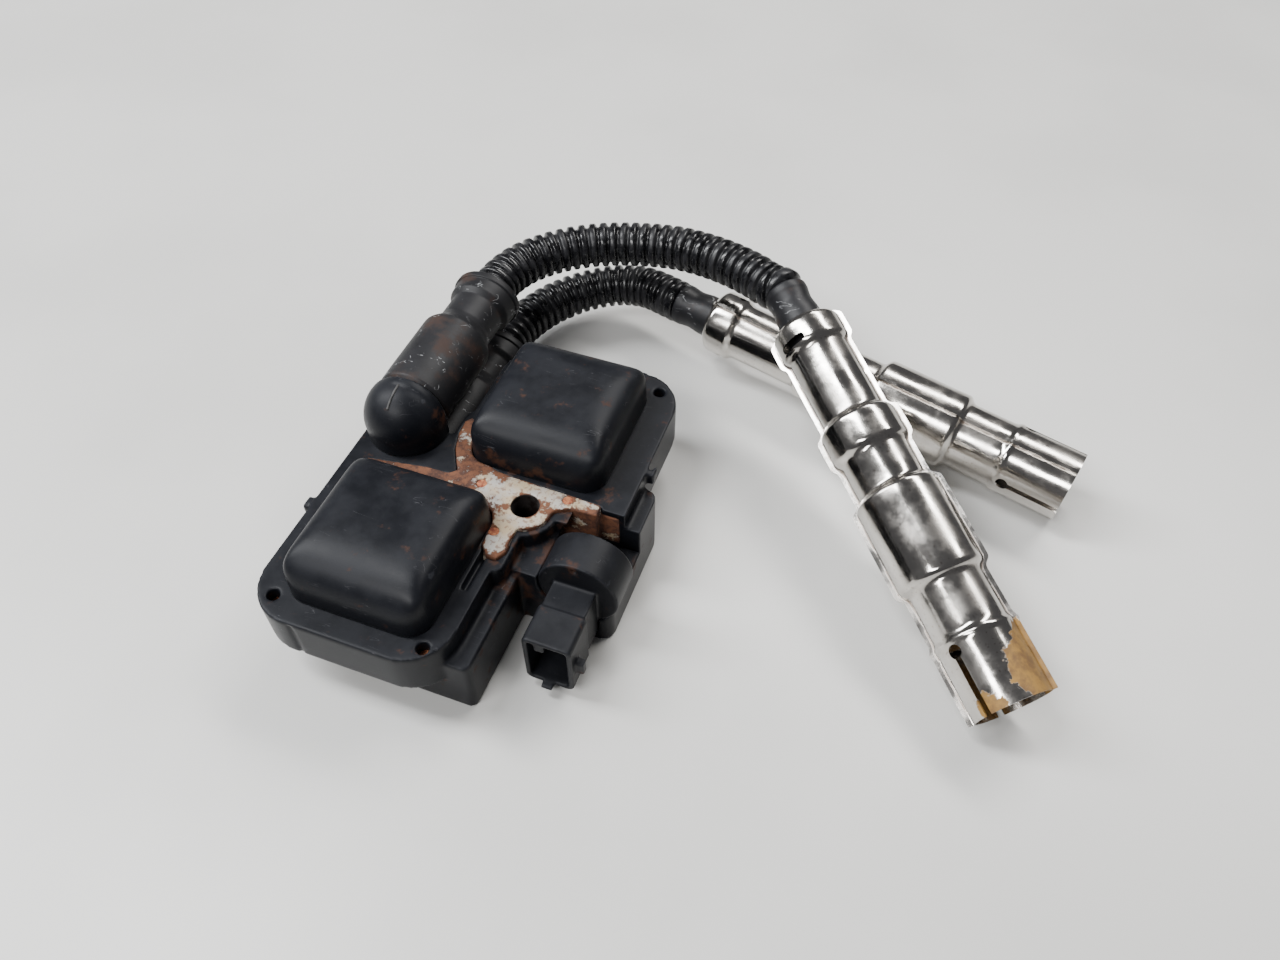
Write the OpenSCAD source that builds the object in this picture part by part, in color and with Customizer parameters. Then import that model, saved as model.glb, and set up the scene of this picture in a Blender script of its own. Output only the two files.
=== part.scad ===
// Twin-outlet ignition coil: two wound limbs in one moulded housing on a shared
// laminated core, with two sealed high-tension leads in corrugated conduit that
// end in stamped metal plug shrouds.
// The origin is on the mounting hole's axis at the core's underside, +Z up.
// +Y is the way the towers point, and -Y is the way the connector points.

/* [Core] */
// Height of the exposed lamination stack
core_stack = 13; // [11:0.5:16]
// Height of the stack inside the housing
leg_stack = 10; // [9:0.5:11]
// Diameter of the mounting hole
mount_hole_d = 7; // [5:0.5:8]
// Radius of the metal around the mounting hole
mount_boss_r = 7; // [6:0.2:8]
// Width of the limb that carries the windings
limb_w = 12; // [8:0.5:13]
// Diameter of the core rivets
core_rivet_d = 2.6; // [2:0.2:3.4]

/* [Housing] */
// Length of one flange along X
flange_l = 50.6; // [48:0.2:60]
// Width of one flange along Y
flange_w = 49.2; // [48:0.2:60]
// Radius of the flange corners
flange_r = 12; // [6:1:14]
// Height of the flange's rim face above the core's underside
flange_top = 12; // [11.5:0.5:13]
// Depth of the tubs below the core's underside
tub_depth = 12.5; // [11:0.5:16]
// Wall thickness of the mouldings
wall = 2; // [1.4:0.1:2.4]
// Inset of the tubs from the flange's edge
tub_inset = 6; // [4:0.5:7]
// Diameter of the holes in the flange corners
flange_hole_d = 3.1; // [2:0.1:4]
// Depth of the holes above the pins
flange_hole_depth = 3.5; // [2:0.5:6]

/* [Covers] */
// Length of a cover along X
cover_l = 37; // [36.5:0.5:40]
// Width of a cover along Y
cover_w = 40; // [39:0.5:44]
// Height of a cover above the flange
cover_h = 13.5; // [12.5:0.5:22]
// Radius of a cover's corners in plan
cover_r = 6; // [4:0.5:9]

/* [Windings] */
// Length of a winding along its limb
winding_l = 30; // [20:1:31]
// Thickness of a bobbin's wall
bobbin_wall = 1.2; // [0.8:0.1:1.5]
// Thickness of the primary winding
primary_t = 2.2; // [1:0.1:2.5]
// Thickness of the secondary winding
secondary_t = 3.6; // [2:0.1:4]
// Gap between parts that slip over each other
slip_gap = 0.1; // [0.05:0.05:0.2]

/* [Connector] */
// Outer width of the connector shell
socket_w = 12.4; // [11:0.2:14]
// Outer height of the connector shell
socket_h = 17.6; // [15:0.2:19]
// Wall of the connector shell
socket_wall = 1.3; // [1:0.1:1.6]
// Depth of the socket
socket_depth = 11; // [8:0.5:13]
// Length of the neck between the collar and the shell
neck_l = 7.6; // [5:0.2:10]
// Radius of the round collar behind the connector
collar_r = 10.4; // [9.4:0.2:11.4]
// Length of a pin inside the socket
pin_l = 6; // [4:0.5:7]

/* [Towers and boots] */
// Height of the upper tower's axis above the core's underside
upper_tower_z = 18.5; // [18:0.5:24]
// Depth of the lower tower's axis below the core's underside
lower_tower_drop = 2.5; // [1:0.25:2.5]
// Radius of the round elbow of the upper tower
elbow_r = 11; // [10:0.25:11.5]
// Radius of the spigot that a boot grips
spigot_r = 6.4; // [5:0.1:6.4]
// Length of the spigot
spigot_l = 22; // [15:1:26]
// Outer radius of a boot
boot_r = 10; // [8.6:0.1:10.2]
// Radius of a boot's neck
boot_neck_r = 7.6; // [7.2:0.1:8.5]
// Length of a boot's wide part
boot_l = 26; // [23:0.5:30]
// Radius of the brass post in a tower
post_r = 2; // [1.5:0.1:2.5]

/* [Conduit] */
// Outer diameter of the corrugated conduit
conduit_d = 13; // [10:0.5:13]

/* [Plug shrouds] */
// Outer radius of the slotted tip
tip_r = 9.8; // [9.4:0.1:10.4]
// Outer radius of the section behind the tip
shank_r = 9.4; // [9:0.1:10.4]
// Outer radius of the barrel
barrel_r = 11.1; // [10.4:0.1:12.4]
// Outer radius of the waist between the barrel and the ring
waist_r = 9.1; // [8.8:0.1:10]
// Outer radius of the raised ring
ring_r = 10.4; // [9.8:0.1:11.6]
// Outer radius of the neck
shroud_neck_r = 8.4; // [8:0.1:9.2]
// Outer radius of the collar
shroud_collar_r = 9.6; // [9:0.1:10.4]
// Sheet thickness of the shroud
sheet_t = 0.5; // [0.4:0.05:0.6]
// Width of the seam flange outside the tube
seam_w = 1.2; // [1:0.1:1.6]
// Length of the tip
tip_l = 19.5; // [17:0.5:24]
// Length of the section behind the tip
shank_l = 13.2; // [10:0.2:15]
// Length of the barrel
barrel_l = 25.3; // [20:0.5:30]
// Length of the waist
waist_l = 12; // [9:0.5:15]
// Length of the raised ring
ring_l = 10; // [7:0.5:12]
// Length of the neck
shroud_neck_l = 23; // [18:0.5:25]
// Length of the collar
shroud_collar_l = 9; // [6:0.5:11]
// Width of the slot in the tip
tip_slot_w = 1.6; // [1:0.1:2.4]
// Radius of the plug boot's bore, which grips the spark plug
plug_bore_r = 5.3; // [4.5:0.1:5.6]
// Length of the plug boot's bore
plug_bore_l = 38; // [30:1:40]
// Clearance between a shroud and the rubber inside it
shroud_gap = 0.35; // [0.3:0.05:0.5]

/* [Hidden] */
$fn = 64;
eps = 0.01;

// The body is the same after a half turn about this point in plan.
turn_x = -13.3;
turn_y = 2.9;

plastic = [0.10, 0.10, 0.11];
rubber = [0.07, 0.07, 0.07];
rusty_cream = [0.72, 0.64, 0.52];
rust = [0.42, 0.22, 0.12];
copper = [0.72, 0.42, 0.22];
resin = [0.16, 0.15, 0.14];
nylon = [0.75, 0.72, 0.62];
brass = [0.78, 0.62, 0.30];
tin_plate = [0.80, 0.79, 0.76];
ceramic = [0.88, 0.86, 0.80];

// Front flange: its right edge is on the mounting hole's axis.
flange_x0 = -flange_l;
flange_y0 = -flange_w;
cover_x0 = -42.5;
cover_y0 = -43.2;
cover_x1 = cover_x0 + cover_l;
cover_y1 = cover_y0 + cover_w;
pocket_depth = 1.8;
limb_y = (cover_y0 + cover_y1) / 2;
winding_x = (cover_x0 + cover_x1) / 2;
well_x0 = cover_x0 + wall;
well_x1 = cover_x1 - wall;
well_y0 = cover_y0 + wall;
well_y1 = cover_y1 - wall;
leg_x0 = flange_x0 + 1.5;
leg_left_w = 5.5;
leg_right_w = 5.2;
leg_right_x1 = -1.5;
core_gap = 0.2;
flange_bottom = -1;
lug_l = 2.2;
lug_y = -17;

// Sections of the winding stack, measured from the limb outwards.
primary_bobbin_t = slip_gap + bobbin_wall;
primary_out = primary_bobbin_t + primary_t;
secondary_bobbin_out = primary_out + slip_gap + bobbin_wall;
secondary_out = secondary_bobbin_out + secondary_t;
bobbin_flange_t = 1;

// Tower block and towers.
tower_x = -39.5;
block_x0 = -50.5;
block_x1 = -23.5;
block_y0 = 4;
block_y1 = 16;
lower_tower_x = -38;
boot_y = block_y1 + 0.8;
tower_root_l = 5;
post_inset = 1;
boot_shoulder = 2;
boot_neck_l = 18;
boot_end = boot_l + boot_shoulder + boot_neck_l;
well_r = 4;
socket_bore_r = post_r + 0.05;
terminal_r = 3.4;
terminal_l = 14;

// Connector.
socket_x = 19.1;
socket_z = -0.6;
socket_front_y = -32.3;
collar_front_y = -14.6;
collar_x = 19.6;
collar_z = 5;
collar_back_y = 6;
pin_pitch = 3;
pin_w = 1.2;
pin_t = 0.8;
neck_w = socket_w - 1.4;
neck_h = socket_h - 1.4;
neck_front_y = collar_front_y - neck_l;
neck_root = 1;

// Lower boxes beside the tubs.
side_box_x1 = 4.4;
side_box_top = 5.5;
lower_box_x1 = 28;
lower_box_y0 = -15;
lower_box_top = 7;

// Stations along a shroud, measured from its open tip.
shank_s = tip_l;
barrel_s = shank_s + shank_l;
waist_s = barrel_s + barrel_l;
ring_s = waist_s + waist_l;
neck_s = ring_s + ring_l;
collar_s = neck_s + shroud_neck_l;
shroud_l = collar_s + shroud_collar_l;
collar_lip_r = 6.9;
sleeve_out = 12.5;
sleeve_r = conduit_d / 2 - 0.3;
sleeve_in = 14;
plug_boot_back = shroud_l - shroud_collar_l - 6;
contact_l = 9;
suppressor_l = 26;
suppressor_r = 3.4;

// Where each shroud's tip lies, its heading in plan and its rise to the collar.
upper_tip = [122.8, -4.8, -1.7];
upper_heading = 131.9;
upper_rise = 12.5;
upper_roll = 62;
lower_tip = [128.8, 65.7, -0.8];
lower_heading = 165.6;
lower_rise = 1.7;
lower_roll = 160;

// Centre lines of the two conduits, from the boots to the sleeves.
upper_route = [[-39.5, 62.8, 18.5], [-39.4, 68.7, 18.5], [-38, 74.5, 18.7],
    [-35.2, 79.9, 19], [-31.1, 84.7, 19.3], [-26, 88.9, 19.7], [-20.2, 92.3, 20.1],
    [-13.9, 94.8, 20.6], [-7.2, 96.5, 21.1], [-0.4, 97.5, 21.7], [6.5, 97.8, 22.3],
    [13.3, 96.9, 22.9], [19.9, 95.3, 23.5], [26.2, 93.1, 24], [32, 90.5, 24.4],
    [37, 87.9, 24.5]];
lower_route = [[-38, 62.8, -2.5], [-38, 66.5, -2.5], [-37.7, 70.3, -2.4],
    [-37.1, 74, -2.3], [-36.1, 77.6, -2.2], [-34.7, 81.1, -2], [-33, 84.5, -1.8],
    [-30.9, 87.7, -1.5], [-28.5, 90.7, -1.3], [-25.8, 93.4, -0.9], [-22.8, 95.8, -0.5],
    [-19.5, 97.9, -0.1], [-15.9, 99.6, 0.4], [-12.1, 100.7, 0.9], [-8.2, 101.1, 1.4],
    [-4.3, 100.8, 1.9], [-0.5, 99.8, 2.3]];

// A point at station s on a shroud's axis.
function axis_dir(heading, rise) =
    [cos(rise) * cos(heading), cos(rise) * sin(heading), sin(rise)];
function on_axis(tip, heading, rise, s) = tip + s * axis_dir(heading, rise);

function unit(v) = v / norm(v);

// Puts the children on the rear half of the body.
module opposite() {
    translate([2 * turn_x, 2 * turn_y, 0]) rotate([0, 0, 180]) children();
}

// A rectangle with round corners between two plan corners.
module rounded(x0, y0, x1, y1, r) {
    translate([x0 + r, y0]) square([x1 - x0 - 2 * r, y1 - y0]);
    translate([x0, y0 + r]) square([x1 - x0, y1 - y0 - 2 * r]);
    for (x = [x0 + r, x1 - r], y = [y0 + r, y1 - r]) translate([x, y]) circle(r);
}

// A block with round vertical edges between two plan corners.
module slab(x0, y0, x1, y1, r, z0, z1) {
    translate([0, 0, z0]) linear_extrude(z1 - z0) rounded(x0, y0, x1, y1, r);
}

module block(x0, y0, z0, x1, y1, z1) {
    translate([x0, y0, z0]) cube([x1 - x0, y1 - y0, z1 - z0]);
}

// Outline of the exposed core in plan, from the left arm's tip clockwise.
core_outline = [[-44.6, 0.4], [-37, 1.6], [-29.5, 2.8], [-22.6, 3.1], [-21, 4.6], [-23, 7.8],
    [-25, 11.4], [-26.4, 16], [-26.8, 20.4], [-25.6, 22.3], [-23.6, 21.4], [-21.4, 17.6],
    [-19.4, 13.2], [-16.2, 9.6], [-11, 7.8], [-4.4, 7.3], [4, 7.1], [17.6, 6.6], [17.6, 3.2],
    [10.6, 3], [7.4, 1.2], [5, -4], [1, -6.8], [0.8, -10.4], [1.4, -14.2], [0, -16.8],
    [-2.8, -16.6], [-5, -14.2], [-5.4, -9.2], [-6.8, -4.8], [-9.6, -2.2], [-13.2, -1.3],
    [-19, -2], [-27.5, -1], [-36, -0.8], [-44.6, -1]];

// The core's limb and legs inside the front flange, which the plastic hides.
module leg_plan() {
    translate([leg_x0, limb_y - limb_w / 2]) square([leg_left_w, limb_w / 2 - limb_y]);
    translate([leg_x0, limb_y - limb_w / 2]) square([leg_right_x1 - leg_x0, limb_w]);
    translate([leg_right_x1 - leg_right_w, limb_y]) square([leg_right_w, -limb_y - 9]);
}

// Outline of a cover in plan, grown by a clearance.
module cover_footprint(gap) {
    rounded(cover_x0 - gap, cover_y0 - gap, cover_x1 + gap, cover_y1 + gap, cover_r + gap);
}

module core_plan() {
    difference() {
        union() {
            polygon(core_outline);
            circle(mount_boss_r);
        }
        cover_footprint(core_gap);
        opposite() cover_footprint(core_gap);
    }
}

module core_body(gap) {
    translate([0, 0, -gap]) linear_extrude(core_stack + 2 * gap) core_plan();
    translate([0, 0, -gap]) linear_extrude(leg_stack + 2 * gap) {
        leg_plan();
        opposite() leg_plan();
    }
}

core_rivet_spots = [[turn_x, turn_y], [-3.9, -9.7], [9.1, 5.3]];

module at_core_rivets() {
    for (spot = core_rivet_spots) translate([spot[0], spot[1], 0]) children();
}

module core() {
    color(rusty_cream) difference() {
        core_body(0);
        translate([0, 0, -1]) cylinder(d = mount_hole_d, h = core_stack + 2);
        at_core_rivets() translate([0, 0, -1]) cylinder(d = core_rivet_d, h = core_stack + 2);
    }
}

module core_rivets() {
    color(rust) at_core_rivets() cylinder(d = core_rivet_d, h = core_stack - 0.4);
}

flange_hole_spots = [[-44.3, -43.4], [-5.1, -44]];

module at_flange_holes() {
    for (spot = flange_hole_spots) {
        translate([spot[0], spot[1], flange_top]) children();
        opposite() translate([spot[0], spot[1], flange_top]) children();
    }
}

module flange_pins() {
    color(rust) at_flange_holes() translate([0, 0, -flange_hole_depth - 4])
        cylinder(d = flange_hole_d, h = 4);
}

// One flange with its tub and side box, before the wells are cut.
module half_housing() {
    slab(flange_x0, flange_y0, 0, -3, flange_r, flange_bottom, flange_top);
    slab(flange_x0, -20, 0, 1.5, 1.5, flange_bottom, flange_top);
    slab(flange_x0 + tub_inset, flange_y0 + tub_inset, -4, -3, 7, -tub_depth, flange_bottom + 1);
    // Hooked lug on the outer edge.
    block(flange_x0 - lug_l, lug_y, flange_top - 4, flange_x0 + 1, lug_y + 2, flange_top - 0.5);
    block(flange_x0 - lug_l, lug_y - 1.4, flange_top - 4, flange_x0 - lug_l + 1, lug_y + 2,
        flange_top - 0.5);
}

// Raised lip that frames the exposed core.
module core_rim() {
    slab(-24, -9, -2, 13, 4, flange_bottom, flange_top);
    slab(-28, 4, -14, 26, 3, flange_bottom, flange_top);
    slab(-12.6, -20.2, 2.4, 2, 3, flange_bottom, flange_top);
    translate([0, 0, flange_bottom]) cylinder(r = mount_boss_r + 1.6, h = flange_top - flange_bottom);
    slab(-3, -1, 16, 9, 1.5, flange_bottom, flange_top);
}

module winding_well() {
    slab(well_x0, well_y0, well_x1, well_y1, cover_r - wall, wall - tub_depth, flange_top + 1);
}

// Sloped pocket beside a cover.
module side_pocket() {
    block(cover_x1 + 1, -27, flange_top - pocket_depth, cover_x1 + 2.6, -13, flange_top + 1);
}

module housing() {
    color(plastic) difference() {
        union() {
            half_housing();
            opposite() half_housing();
            core_rim();
            block(block_x0, block_y0 - 3, -tub_depth, block_x1, block_y1, flange_top);
            slab(-30, flange_y0 + tub_inset, side_box_x1, -12, 2, -tub_depth, side_box_top);
            slab(-6, lower_box_y0, lower_box_x1, 20, 3, -tub_depth, lower_box_top);
            slab(-20, -8, 4, 14, 2, -tub_depth + 2, flange_bottom + 1);
        }
        core_body(0);
        translate([0, 0, -tub_depth - 1]) cylinder(d = mount_hole_d + 2, h = tub_depth + 2);
        winding_well();
        opposite() winding_well();
        side_pocket();
        opposite() side_pocket();
        at_flange_holes() translate([0, 0, -flange_hole_depth - 4])
            cylinder(d = flange_hole_d, h = flange_hole_depth + 5);
        // Narrow groove on each flange's end wall.
        block(-37.2, flange_y0 - 1, flange_bottom - 1, -36, flange_y0 + 0.6, flange_top - 0.6);
        opposite() block(-37.2, flange_y0 - 1, flange_bottom - 1, -36, flange_y0 + 0.6,
            flange_top - 0.6);
        connector_seat();
        spigot_outside(lower_tower_x, -lower_tower_drop);
    }
}

// Upper half of a superellipse w wide and h high; a smaller power is squarer.
function arch(w, h, power, n) =
    [for (i = [0:n]) let (a = 180 * i / n)
        [-w / 2 * sign(cos(a)) * pow(abs(cos(a)), power), h * pow(sin(a), power)]];

module cover_solid(inset) {
    w = cover_w - 2 * inset;
    h = cover_h - inset;
    intersection() {
        translate([cover_x0 + inset, limb_y, flange_top]) rotate([90, 0, 90])
            linear_extrude(cover_l - 2 * inset) polygon(arch(w, h, 0.62, 24));
        translate([winding_x, cover_y1 - inset, flange_top]) rotate([90, 0, 0])
            linear_extrude(w) polygon(arch(cover_l - 2 * inset, h + 0.4, 0.42, 24));
        slab(cover_x0 + inset, cover_y0 + inset, cover_x1 - inset, cover_y1 - inset,
            cover_r - inset, flange_top, flange_top + cover_h);
    }
}

module cover() {
    color(plastic) difference() {
        cover_solid(0);
        translate([0, 0, -eps]) cover_solid(wall);
    }
}

// A box tube around the limb, from one distance outside it to another.
module limb_tube(from, to, length) {
    z_mid = leg_stack / 2;
    difference() {
        translate([winding_x, limb_y, z_mid])
            cube([length, limb_w + 2 * to, leg_stack + 2 * to], center = true);
        translate([winding_x, limb_y, z_mid])
            cube([length + 1, limb_w + 2 * from, leg_stack + 2 * from], center = true);
    }
}

module primary_bobbin() {
    color(nylon) limb_tube(slip_gap, primary_bobbin_t, winding_l);
}

module primary_winding() {
    color(copper) limb_tube(primary_bobbin_t, primary_out, winding_l - 2);
}

module secondary_bobbin() {
    color(nylon) {
        limb_tube(primary_out + slip_gap, secondary_bobbin_out, winding_l);
        for (side = [-1, 1])
            translate([side * (winding_l - bobbin_flange_t) / 2, 0, 0])
                limb_tube(secondary_bobbin_out - 0.4, secondary_out, bobbin_flange_t);
    }
}

module secondary_winding() {
    color(copper) limb_tube(secondary_bobbin_out, secondary_out - 0.3,
        winding_l - 2 * bobbin_flange_t);
}

// Resin that fills the bottom of a well around the coil.
module potting() {
    color(resin) difference() {
        slab(well_x0, well_y0, well_x1, well_y1, cover_r - wall, wall - tub_depth, flange_top - 4);
        translate([winding_x, limb_y, leg_stack / 2])
            cube([winding_l, limb_w + 2 * secondary_out, leg_stack + 2 * secondary_out], center = true);
        core_body(0);
    }
}

// The neck's block, from a way in front of the collar to a way behind its face.
module connector_neck(front, behind) {
    block(socket_x - neck_w / 2, neck_front_y - front, socket_z - neck_h / 2,
        socket_x + neck_w / 2, collar_front_y + behind, socket_z + neck_h / 2);
}

// The part of the connector moulding that sits in the housing.
module connector_seat() {
    translate([collar_x, collar_back_y, collar_z]) rotate([90, 0, 0])
        cylinder(r = collar_r, h = collar_back_y - lower_box_y0 + eps);
    connector_neck(0, neck_root);
}

module connector_shell() {
    inner_w = socket_w - 2 * socket_wall;
    inner_h = socket_h - 2 * socket_wall;
    color(plastic) difference() {
        union() {
            intersection() {
                translate([collar_x, collar_back_y, collar_z]) rotate([90, 0, 0])
                    cylinder(r = collar_r, h = collar_back_y - collar_front_y);
                block(-10, -60, -tub_depth, 60, 60, 30);
            }
            connector_neck(1, neck_root);
            translate([socket_x, neck_front_y, socket_z]) rotate([90, 0, 0])
                slab(-socket_w / 2, -socket_h / 2, socket_w / 2, socket_h / 2, 1.6, 0,
                    neck_front_y - socket_front_y);
            // Locking nose on the right wall.
            block(socket_x + socket_w / 2 - 1, socket_front_y + 2, socket_z - 3,
                socket_x + socket_w / 2 + 2, socket_front_y + 4, socket_z + 1.5);
            // Small tongue under the mouth.
            block(socket_x - 1.6, socket_front_y - 1.8, socket_z - socket_h / 2,
                socket_x + 1.2, socket_front_y + 1, socket_z - socket_h / 2 + 1.2);
        }
        difference() {
            translate([socket_x, socket_front_y + socket_depth, socket_z]) rotate([90, 0, 0])
                slab(-inner_w / 2, -inner_h / 2, inner_w / 2, inner_h / 2, 0.8, 0,
                    socket_depth + 1);
            // Key that hangs from the roof of the socket.
            block(socket_x - 3.2, socket_front_y, socket_z + inner_h / 2 - 2.6,
                socket_x - 0.6, socket_front_y + socket_depth + 1, socket_z + socket_h / 2);
        }
        connector_pin_set();
        // Round recess on the collar's face.
        translate([collar_x - 0.5, collar_front_y + 0.8, collar_z + 8.4]) rotate([90, 0, 0])
            cylinder(r = 0.8, h = 2);
        connector_relief();
    }
}

// Keeps the collar clear of the core and of the rear flange.
module connector_relief() {
    block(-20, -4, flange_bottom, 60, 40, 40);
    translate([0, 0, -20]) cylinder(r = mount_boss_r + 1.6, h = 60);
}

module connector_pin_set() {
    for (i = [-1:1])
        block(socket_x + i * pin_pitch - pin_w / 2, socket_front_y + socket_depth - pin_l,
            socket_z - 1.4 - pin_t / 2, socket_x + i * pin_pitch + pin_w / 2, -8,
            socket_z - 1.4 + pin_t / 2);
}

module connector_pins() {
    color(brass) connector_pin_set();
}

// Outside of a spigot along +Y, with its root in the block.
module spigot_outside(x, z) {
    translate([x, block_y1 - tower_root_l, z]) rotate([-90, 0, 0])
        cylinder(r = spigot_r, h = tower_root_l + spigot_l);
}

// The well in a spigot's mouth and the hole that holds its post.
module spigot_hollow(x, z) {
    translate([x, block_y1, z]) rotate([-90, 0, 0]) {
        translate([0, 0, 4]) cylinder(r = well_r, h = spigot_l);
        translate([0, 0, post_inset - tower_root_l]) cylinder(r = post_r, h = spigot_l);
    }
}

module upper_tower() {
    elbow_y = block_y0 + elbow_r - 0.6;
    elbow_z = upper_tower_z - 1.6;
    elbow_x = tower_x - 0.5;
    color(plastic) difference() {
        union() {
            spigot_outside(tower_x, upper_tower_z);
            difference() {
                union() {
                    translate([elbow_x, elbow_y, flange_top])
                        cylinder(r = elbow_r - 0.1, h = elbow_z - flange_top);
                    translate([elbow_x, elbow_y, elbow_z]) sphere(r = elbow_r);
                }
                block(-80, boot_y - 0.1, -30, 0, 60, 60);
            }
            translate([tower_x, elbow_y, upper_tower_z]) rotate([-90, 0, 0])
                cylinder(r = boot_r - 0.2, h = boot_y - elbow_y - 0.1);
        }
        block(-80, -30, 0, 0, 60, flange_top);
        spigot_hollow(tower_x, upper_tower_z);
    }
}

module lower_tower() {
    color(plastic) difference() {
        spigot_outside(lower_tower_x, -lower_tower_drop);
        spigot_hollow(lower_tower_x, -lower_tower_drop);
    }
}

module tower_post(x, z) {
    color(brass) translate([x, block_y1 - tower_root_l + post_inset, z]) rotate([-90, 0, 0])
        cylinder(r = post_r, h = tower_root_l + spigot_l - 3);
}

// Rubber boot over a spigot, with a flared end for the conduit.
module boot(x, z) {
    grip_l = block_y1 + spigot_l - boot_y;
    color(rubber) translate([x, boot_y, z]) rotate([-90, 0, 0]) difference() {
        union() {
            cylinder(r = boot_r, h = boot_l);
            translate([0, 0, boot_l - eps]) cylinder(r1 = boot_r, r2 = boot_neck_r, h = boot_shoulder);
            translate([0, 0, boot_l + boot_shoulder - 0.1]) cylinder(r = boot_neck_r, h = boot_neck_l + 0.1);
            translate([0, 0, boot_end - 5]) cylinder(r = boot_neck_r + 1, h = 2);
            translate([boot_neck_r - 0.6, 0, boot_end - 8])
                rotate([90, 0, 0]) cylinder(r = 2.6, h = 6, center = true);
        }
        translate([0, 0, -1]) cylinder(r = spigot_r, h = grip_l + 1);
        cylinder(r = terminal_r, h = grip_l + terminal_l - 6);
    }
}

module boot_terminal(x, z) {
    color(brass) translate([x, block_y1 + spigot_l - 6, z]) rotate([-90, 0, 0])
        difference() {
            cylinder(r = terminal_r, h = terminal_l);
            translate([0, 0, -1]) cylinder(r = socket_bore_r, h = terminal_l - 2);
        }
}

// A round tube along a list of points whose end faces look along given ways.
module tube(route, first_dir, last_dir, d, sides) {
    n = len(route);
    ways = [for (i = [0:n - 1])
        i == 0 ? first_dir : i == n - 1 ? last_dir : unit(route[i + 1] - route[i - 1])];
    rings = [for (i = [0:n - 1])
        let (u = unit(cross([0, 0, 1], ways[i])), v = cross(ways[i], u))
        for (k = [0:sides - 1])
            let (a = 360 * k / sides) route[i] + d / 2 * (cos(a) * u + sin(a) * v)];
    walls = [for (i = [0:n - 2], k = [0:sides - 1])
        let (a = i * sides + k, b = i * sides + (k + 1) % sides) [a, a + sides, b + sides, b]];
    polyhedron(rings, concat([[for (k = [0:sides - 1]) k]], walls,
        [[for (k = [0:sides - 1]) (n - 1) * sides + sides - 1 - k]]));
}

module lead_conduit(route, tip, heading, rise) {
    end = on_axis(tip, heading, rise, shroud_l + sleeve_out);
    color(plastic) tube(concat(route, [end]), [0, 1, 0], -axis_dir(heading, rise), conduit_d, 12);
}

// Places a plug end whose axis runs from the open tip, local z = 0, to the collar.
module plug_end(tip, heading, rise, roll) {
    translate(tip) rotate([0, 90 - rise, heading]) rotate([0, 0, roll]) children();
}

// Outline of the rubber inside a shroud, r against station.
module plug_boot_plan() {
    g = sheet_t + shroud_gap;
    polygon([[0, shank_s], [shank_r - g, shank_s], [shank_r - g, waist_s - 1],
        [waist_r - g - 0.4, waist_s], [waist_r - g - 0.4, neck_s - 1],
        [shroud_neck_r - g, neck_s], [shroud_neck_r - g, plug_boot_back], [0, plug_boot_back]]);
}

contact_s = shank_s + plug_bore_l;
suppressor_s = contact_s + contact_l;

module plug_boot() {
    color(rubber) difference() {
        rotate_extrude() plug_boot_plan();
        translate([0, 0, shank_s - 1]) cylinder(r = plug_bore_r, h = plug_bore_l + 1);
        translate([0, 0, contact_s - eps]) cylinder(r = suppressor_r, h = contact_l + suppressor_l);
    }
}

module plug_contact() {
    color(brass) translate([0, 0, contact_s]) difference() {
        cylinder(r = suppressor_r, h = contact_l - eps);
        translate([0, 0, -1]) cylinder(r = 2.6, h = contact_l - 1);
    }
}

module suppressor() {
    color(ceramic) translate([0, 0, suppressor_s]) cylinder(r = suppressor_r, h = suppressor_l - eps);
}

module sleeve() {
    color(rubber) translate([0, 0, shroud_l - sleeve_in])
        cylinder(r = sleeve_r, h = sleeve_in + sleeve_out);
}

// Outer outline of the shroud as [radius, station] pairs, tip first; grow widens it.
function shroud_outline(grow) = [
    [tip_r + grow, 0], [tip_r + grow, shank_s - 1.2], [tip_r + 0.5 + grow, shank_s - 0.6],
    [shank_r + grow, shank_s], [shank_r + grow, barrel_s - 1], [barrel_r + grow, barrel_s + 1],
    [barrel_r + grow, waist_s - 1], [waist_r + grow, waist_s + 1], [waist_r + grow, ring_s - 1],
    [ring_r + grow, ring_s + 0.5], [ring_r + grow, neck_s - 0.5], [shroud_neck_r + grow, neck_s + 1],
    [shroud_neck_r + grow, collar_s - 1], [shroud_collar_r + grow, collar_s + 0.5],
    [shroud_collar_r + grow, shroud_l - 2], [collar_lip_r + sheet_t + grow, shroud_l]];

function backwards(list) = [for (i = [len(list) - 1:-1:0]) list[i]];

module shroud_wall_plan() {
    polygon(concat(shroud_outline(0), backwards(shroud_outline(-sheet_t))));
}

// One stamped half with its two seam flanges; the seam lies in the plane y = 0.
module shroud_half(slot_angle) {
    seam_gap = 0.05;
    color(tin_plate) difference() {
        union() {
            rotate_extrude(angle = 180) shroud_wall_plan();
            for (side = [0, 1]) mirror([side, 0, 0]) translate([0, sheet_t, 0])
                rotate([90, 0, 0]) linear_extrude(sheet_t)
                    polygon(concat(shroud_outline(seam_w), backwards(shroud_outline(-sheet_t / 2))));
        }
        block(-20, -1, -1, 20, seam_gap, shroud_l + 1);
        // Keyhole slot in the tip.
        rotate([0, 0, slot_angle]) {
            block(0, -tip_slot_w / 2, -1, 20, tip_slot_w / 2, tip_l - 4);
            translate([0, 0, tip_l - 4]) rotate([0, 90, 0]) cylinder(r = 1.7, h = 20);
        }
        // Oblong slot in the collar.
        translate([0, 0, collar_s + 3]) rotate([0, 0, 60]) block(0, -3, 0, 20, 3, 2);
    }
}

module shroud_pair_half(index) {
    if (index == 0) shroud_half(56);
    else rotate([0, 0, 180]) shroud_half(110);
}

module on_upper() {
    plug_end(upper_tip, upper_heading, upper_rise, upper_roll) children();
}

module on_lower() {
    plug_end(lower_tip, lower_heading, lower_rise, lower_roll) children();
}

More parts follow.
